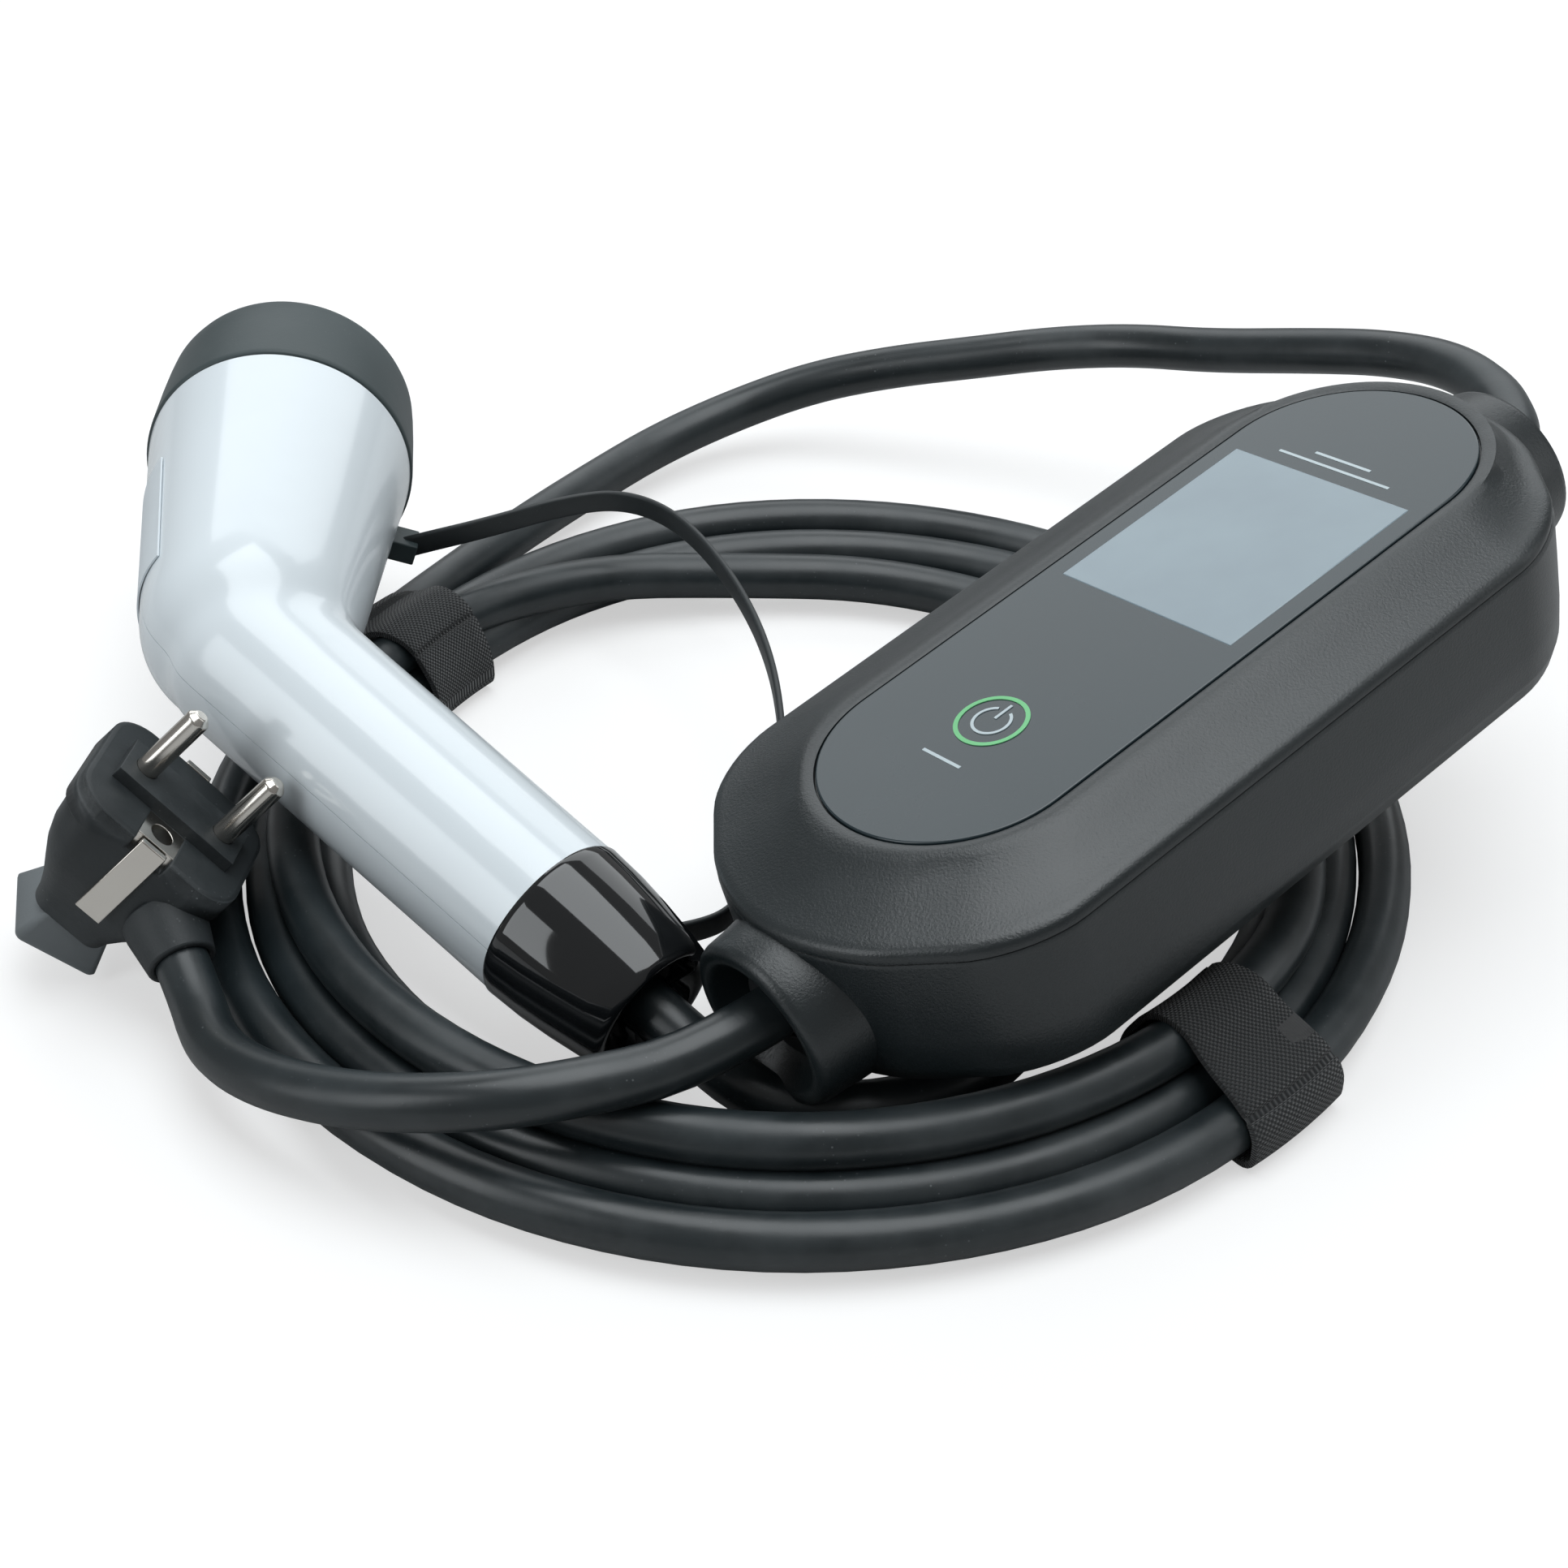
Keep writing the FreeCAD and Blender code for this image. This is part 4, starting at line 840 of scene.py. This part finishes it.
def build_tie(name, node, angle):
    half = TIE_HALF_WIDTH / COIL_MEAN_R
    bm = bmesh.new()
    verts = [bm.verts.new((r, 0, z)) for r, z in TIE_OUTLINE]
    bm.faces.new(verts)
    bmesh.ops.bevel(bm, geom=bm.verts[:], offset=3.2, offset_type="OFFSET", segments=5, profile=0.5,
                    affect="VERTICES", material=-1)
    bmesh.ops.remove_doubles(bm, verts=bm.verts, dist=0.05)
    bmesh.ops.delete(bm, geom=bm.faces[:], context="FACES_ONLY")
    bmesh.ops.rotate(bm, verts=bm.verts[:], cent=(0, 0, 0),
                     matrix=Matrix.Rotation(radians(angle) - half, 3, "Z"))
    outline = bm.verts[:]
    order = [outline[0]]
    while len(order) < len(outline):
        neighbours = [e.other_vert(order[-1]) for e in order[-1].link_edges]
        fresh = [v for v in neighbours if v not in order]
        if not fresh:
            break
        order.append(fresh[0])
    run = 0.0
    length_at = {}
    for before, here in zip([order[0]] + order, order):
        run += (here.co - before.co).length
        length_at[(round(here.co.z, 3), round(here.co.xy.length, 3))] = run
    bmesh.ops.spin(bm, geom=bm.verts[:] + bm.edges[:], cent=(0, 0, 0), axis=(0, 0, 1), dvec=(0, 0, 0),
                   angle=2 * half, steps=8, use_merge=False)
    layer = bm.loops.layers.uv.new("Weave")
    for face in bm.faces:
        values = []
        for loop in face.loops:
            co = loop.vert.co
            along = length_at.get((round(co.z, 3), round(co.xy.length, 3)), 0.0)
            turned = atan2(co.y, co.x) - radians(angle)
            turned = (turned + pi) % (2 * pi) - pi
            values.append([along, (turned + half) * COIL_MEAN_R])
        if max(v[0] for v in values) - min(v[0] for v in values) > 30:
            for value in values:
                if value[0] < 30:
                    value[0] += run
        for loop, value in zip(face.loops, values):
            loop[layer].uv = (value[0] * THREADS_PER_MM, value[1] * THREADS_PER_MM)
    piece = make_piece(name, bm, COIL, "tie_webbing", replaces=(node,), angle=60)
    thick = piece.modifiers.new("Thickness", "SOLIDIFY")
    thick.thickness = 1.3 * MM
    thick.offset = 0.0
    add_bevel(piece, 0.35, 2, 60)


# ---------------------------------------------------------------- stage
def build_stage():
    """Pale floor, area lights and the camera."""
    floor_mesh = bmesh.new()
    bmesh.ops.create_grid(floor_mesh, x_segments=2, y_segments=2, size=4.0)
    mesh = bpy.data.meshes.new("floor")
    floor_mesh.to_mesh(mesh)
    floor_mesh.free()
    floor = bpy.data.objects.new("floor", mesh)
    bpy.context.scene.collection.objects.link(floor)
    material = bpy.data.materials.new("floor")
    material.use_nodes = True
    shader = material.node_tree.nodes["Principled BSDF"]
    shader.inputs["Base Color"].default_value = (0.50, 0.50, 0.50, 1)
    shader.inputs["Emission Color"].default_value = (1.0, 1.0, 1.0, 1)
    seen = material.node_tree.nodes.new("ShaderNodeLightPath")
    glow = math_node(material.node_tree, "MULTIPLY", seen.outputs["Is Camera Ray"], 0.56)
    material.node_tree.links.new(glow, shader.inputs["Emission Strength"])
    shader.inputs["Roughness"].default_value = 0.9
    shader.inputs["Specular IOR Level"].default_value = 0.1
    mesh.materials.append(material)

    world = bpy.data.worlds.new("studio")
    world.use_nodes = True
    world.node_tree.nodes["Background"].inputs["Color"].default_value = (1.0, 1.0, 1.0, 1)
    world.node_tree.nodes["Background"].inputs["Strength"].default_value = 0.22
    bpy.context.scene.world = world
    for name, place, size, power in (
            ("overhead", (0.1, 0.1, 1.3), (1.4, 1.0), 13.0),
            ("behind", (0.1, 1.6, 1.0), (2.4, 1.1), 12.0),
            ("left", (-1.1, -0.6, 0.7), (0.6, 1.0), 4.6), ("right", (1.2, 0.0, 0.6), (0.5, 1.0), 1.4)):
        data = bpy.data.lights.new(name, "AREA")
        data.shape = "RECTANGLE"
        data.size, data.size_y = size
        data.energy = power
        data.color = (0.93, 0.975, 1.0)
        light = bpy.data.objects.new(name, data)
        light.location = place
        light.rotation_euler = (Vector((0, 0, 0.03)) - Vector(place)).to_track_quat("-Z", "Y").to_euler()
        bpy.context.scene.collection.objects.link(light)

    camera_data = bpy.data.cameras.new("camera")
    camera_data.sensor_width = 36.0
    camera_data.lens = 64.38
    camera_data.clip_start = 0.01
    camera = bpy.data.objects.new("camera", camera_data)
    camera.location = (-0.01096, -0.46403, 0.3587)
    camera.rotation_euler = (radians(53.35), 0, 0)
    bpy.context.scene.collection.objects.link(camera)
    bpy.context.scene.camera = camera
    bpy.context.scene.view_settings.view_transform = "Standard"


def build_hidden():
    """Finishes for the pieces whose shape the frame already gives."""
    slots = {entry["node"]: entry["material_slot"] for entry in frame["record"]["subparts"]}
    for name, node in NODES.items():
        material = MATERIALS.get(slots.get(name, ""), MATERIALS["component"])
        if not node.material_slots:
            node.data.materials.append(material)
        for entry in node.material_slots:
            entry.material = material


# ---------------------------------------------------------------- add-on
class CableSettings(bpy.types.PropertyGroup):
    """Sizes and colours of the charging cable"""
    cable_diameter: FloatProperty(
        name="Cable diameter", description="Outside diameter of the round cable", default=0.0105,
        min=0.006, max=0.016, subtype="DISTANCE", unit="LENGTH")
    cable_colour: FloatVectorProperty(
        name="Cable colour", description="Colour of the rubber sheath",
        default=(0.0095, 0.0140, 0.0160), size=3, min=0, max=1, subtype="COLOR")
    shell_colour: FloatVectorProperty(
        name="Shell colour", description="Colour of the connector's shell",
        default=(0.78, 0.845, 0.885), size=3, min=0, max=1, subtype="COLOR")


class CABLE_OT_stage(bpy.types.Operator):
    """Floor, soft lights and camera"""
    bl_idname = "cable.stage"
    bl_label = "Stage"

    def execute(self, context):
        build_stage()
        return {"FINISHED"}


class CABLE_OT_materials(bpy.types.Operator):
    """Shader groups and finishes"""
    bl_idname = "cable.materials"
    bl_label = "Materials"

    def execute(self, context):
        build_materials(context.scene.charging_cable)
        return {"FINISHED"}


class CABLE_OT_plug(bpy.types.Operator):
    """Mains plug with its pins"""
    bl_idname = "cable.plug"
    bl_label = "Mains plug"

    def execute(self, context):
        build_plug()
        return {"FINISHED"}


class CABLE_OT_cords(bpy.types.Operator):
    """Mains lead and output cable"""
    bl_idname = "cable.cords"
    bl_label = "Cords"

    def execute(self, context):
        build_cords(context.scene.charging_cable)
        return {"FINISHED"}


class CABLE_OT_hidden(bpy.types.Operator):
    """Finishes on the frame's own pieces"""
    bl_idname = "cable.hidden"
    bl_label = "Frame pieces"

    def execute(self, context):
        build_hidden()
        return {"FINISHED"}


class CABLE_OT_control_box(bpy.types.Operator):
    """Housing, face plate and cable entries"""
    bl_idname = "cable.control_box"
    bl_label = "Control box"

    def execute(self, context):
        build_control_box()
        return {"FINISHED"}


class CABLE_OT_connector(bpy.types.Operator):
    """The two halves of the white shell"""
    bl_idname = "cable.connector"
    bl_label = "Connector"

    def execute(self, context):
        build_shell()
        return {"FINISHED"}


class CABLE_OT_cap(bpy.types.Operator):
    """Rubber cap over the nose"""
    bl_idname = "cable.cap"
    bl_label = "Cap"

    def execute(self, context):
        build_cap()
        return {"FINISHED"}


class CABLE_OT_tail(bpy.types.Operator):
    """Screwed nut, seal, collet and the strap's button"""
    bl_idname = "cable.tail"
    bl_label = "Tail"

    def execute(self, context):
        build_tail()
        return {"FINISHED"}


class CABLE_OT_strap(bpy.types.Operator):
    """Flat strap from the cap to the tail"""
    bl_idname = "cable.strap"
    bl_label = "Strap"

    def execute(self, context):
        build_strap()
        return {"FINISHED"}


class CABLE_OT_ties(bpy.types.Operator):
    """Woven bands round the coil"""
    bl_idname = "cable.ties"
    bl_label = "Ties"

    def execute(self, context):
        build_tie("tie_left_band", "tie_left", 147.0)
        build_tie("tie_right_band", "tie_right", -45.0)
        return {"FINISHED"}


OPERATORS = [
    CABLE_OT_stage, CABLE_OT_materials, CABLE_OT_plug, CABLE_OT_cords, CABLE_OT_hidden,
    CABLE_OT_control_box, CABLE_OT_connector, CABLE_OT_cap, CABLE_OT_tail, CABLE_OT_strap, CABLE_OT_ties]


class CABLE_PT_panel(bpy.types.Panel):
    """Buttons that build the charging cable"""
    bl_idname = "CABLE_PT_panel"
    bl_label = "Charging cable"
    bl_space_type = "VIEW_3D"
    bl_region_type = "UI"
    bl_category = "Charging cable"

    def draw(self, context):
        for name in ("cable_diameter", "cable_colour", "shell_colour"):
            self.layout.prop(context.scene.charging_cable, name)
        for entry in OPERATORS:
            self.layout.operator(entry.bl_idname)


def register():
    bpy.utils.register_class(CableSettings)
    for entry in OPERATORS:
        bpy.utils.register_class(entry)
    bpy.utils.register_class(CABLE_PT_panel)
    bpy.types.Scene.charging_cable = PointerProperty(type=CableSettings)


def unregister():
    del bpy.types.Scene.charging_cable
    bpy.utils.unregister_class(CABLE_PT_panel)
    for entry in reversed(OPERATORS):
        bpy.utils.unregister_class(entry)
    bpy.utils.unregister_class(CableSettings)


def main():
    register()
    for entry in OPERATORS:
        getattr(bpy.ops.cable, entry.bl_idname.split(".")[1])()


if __name__ == "__main__":
    main()
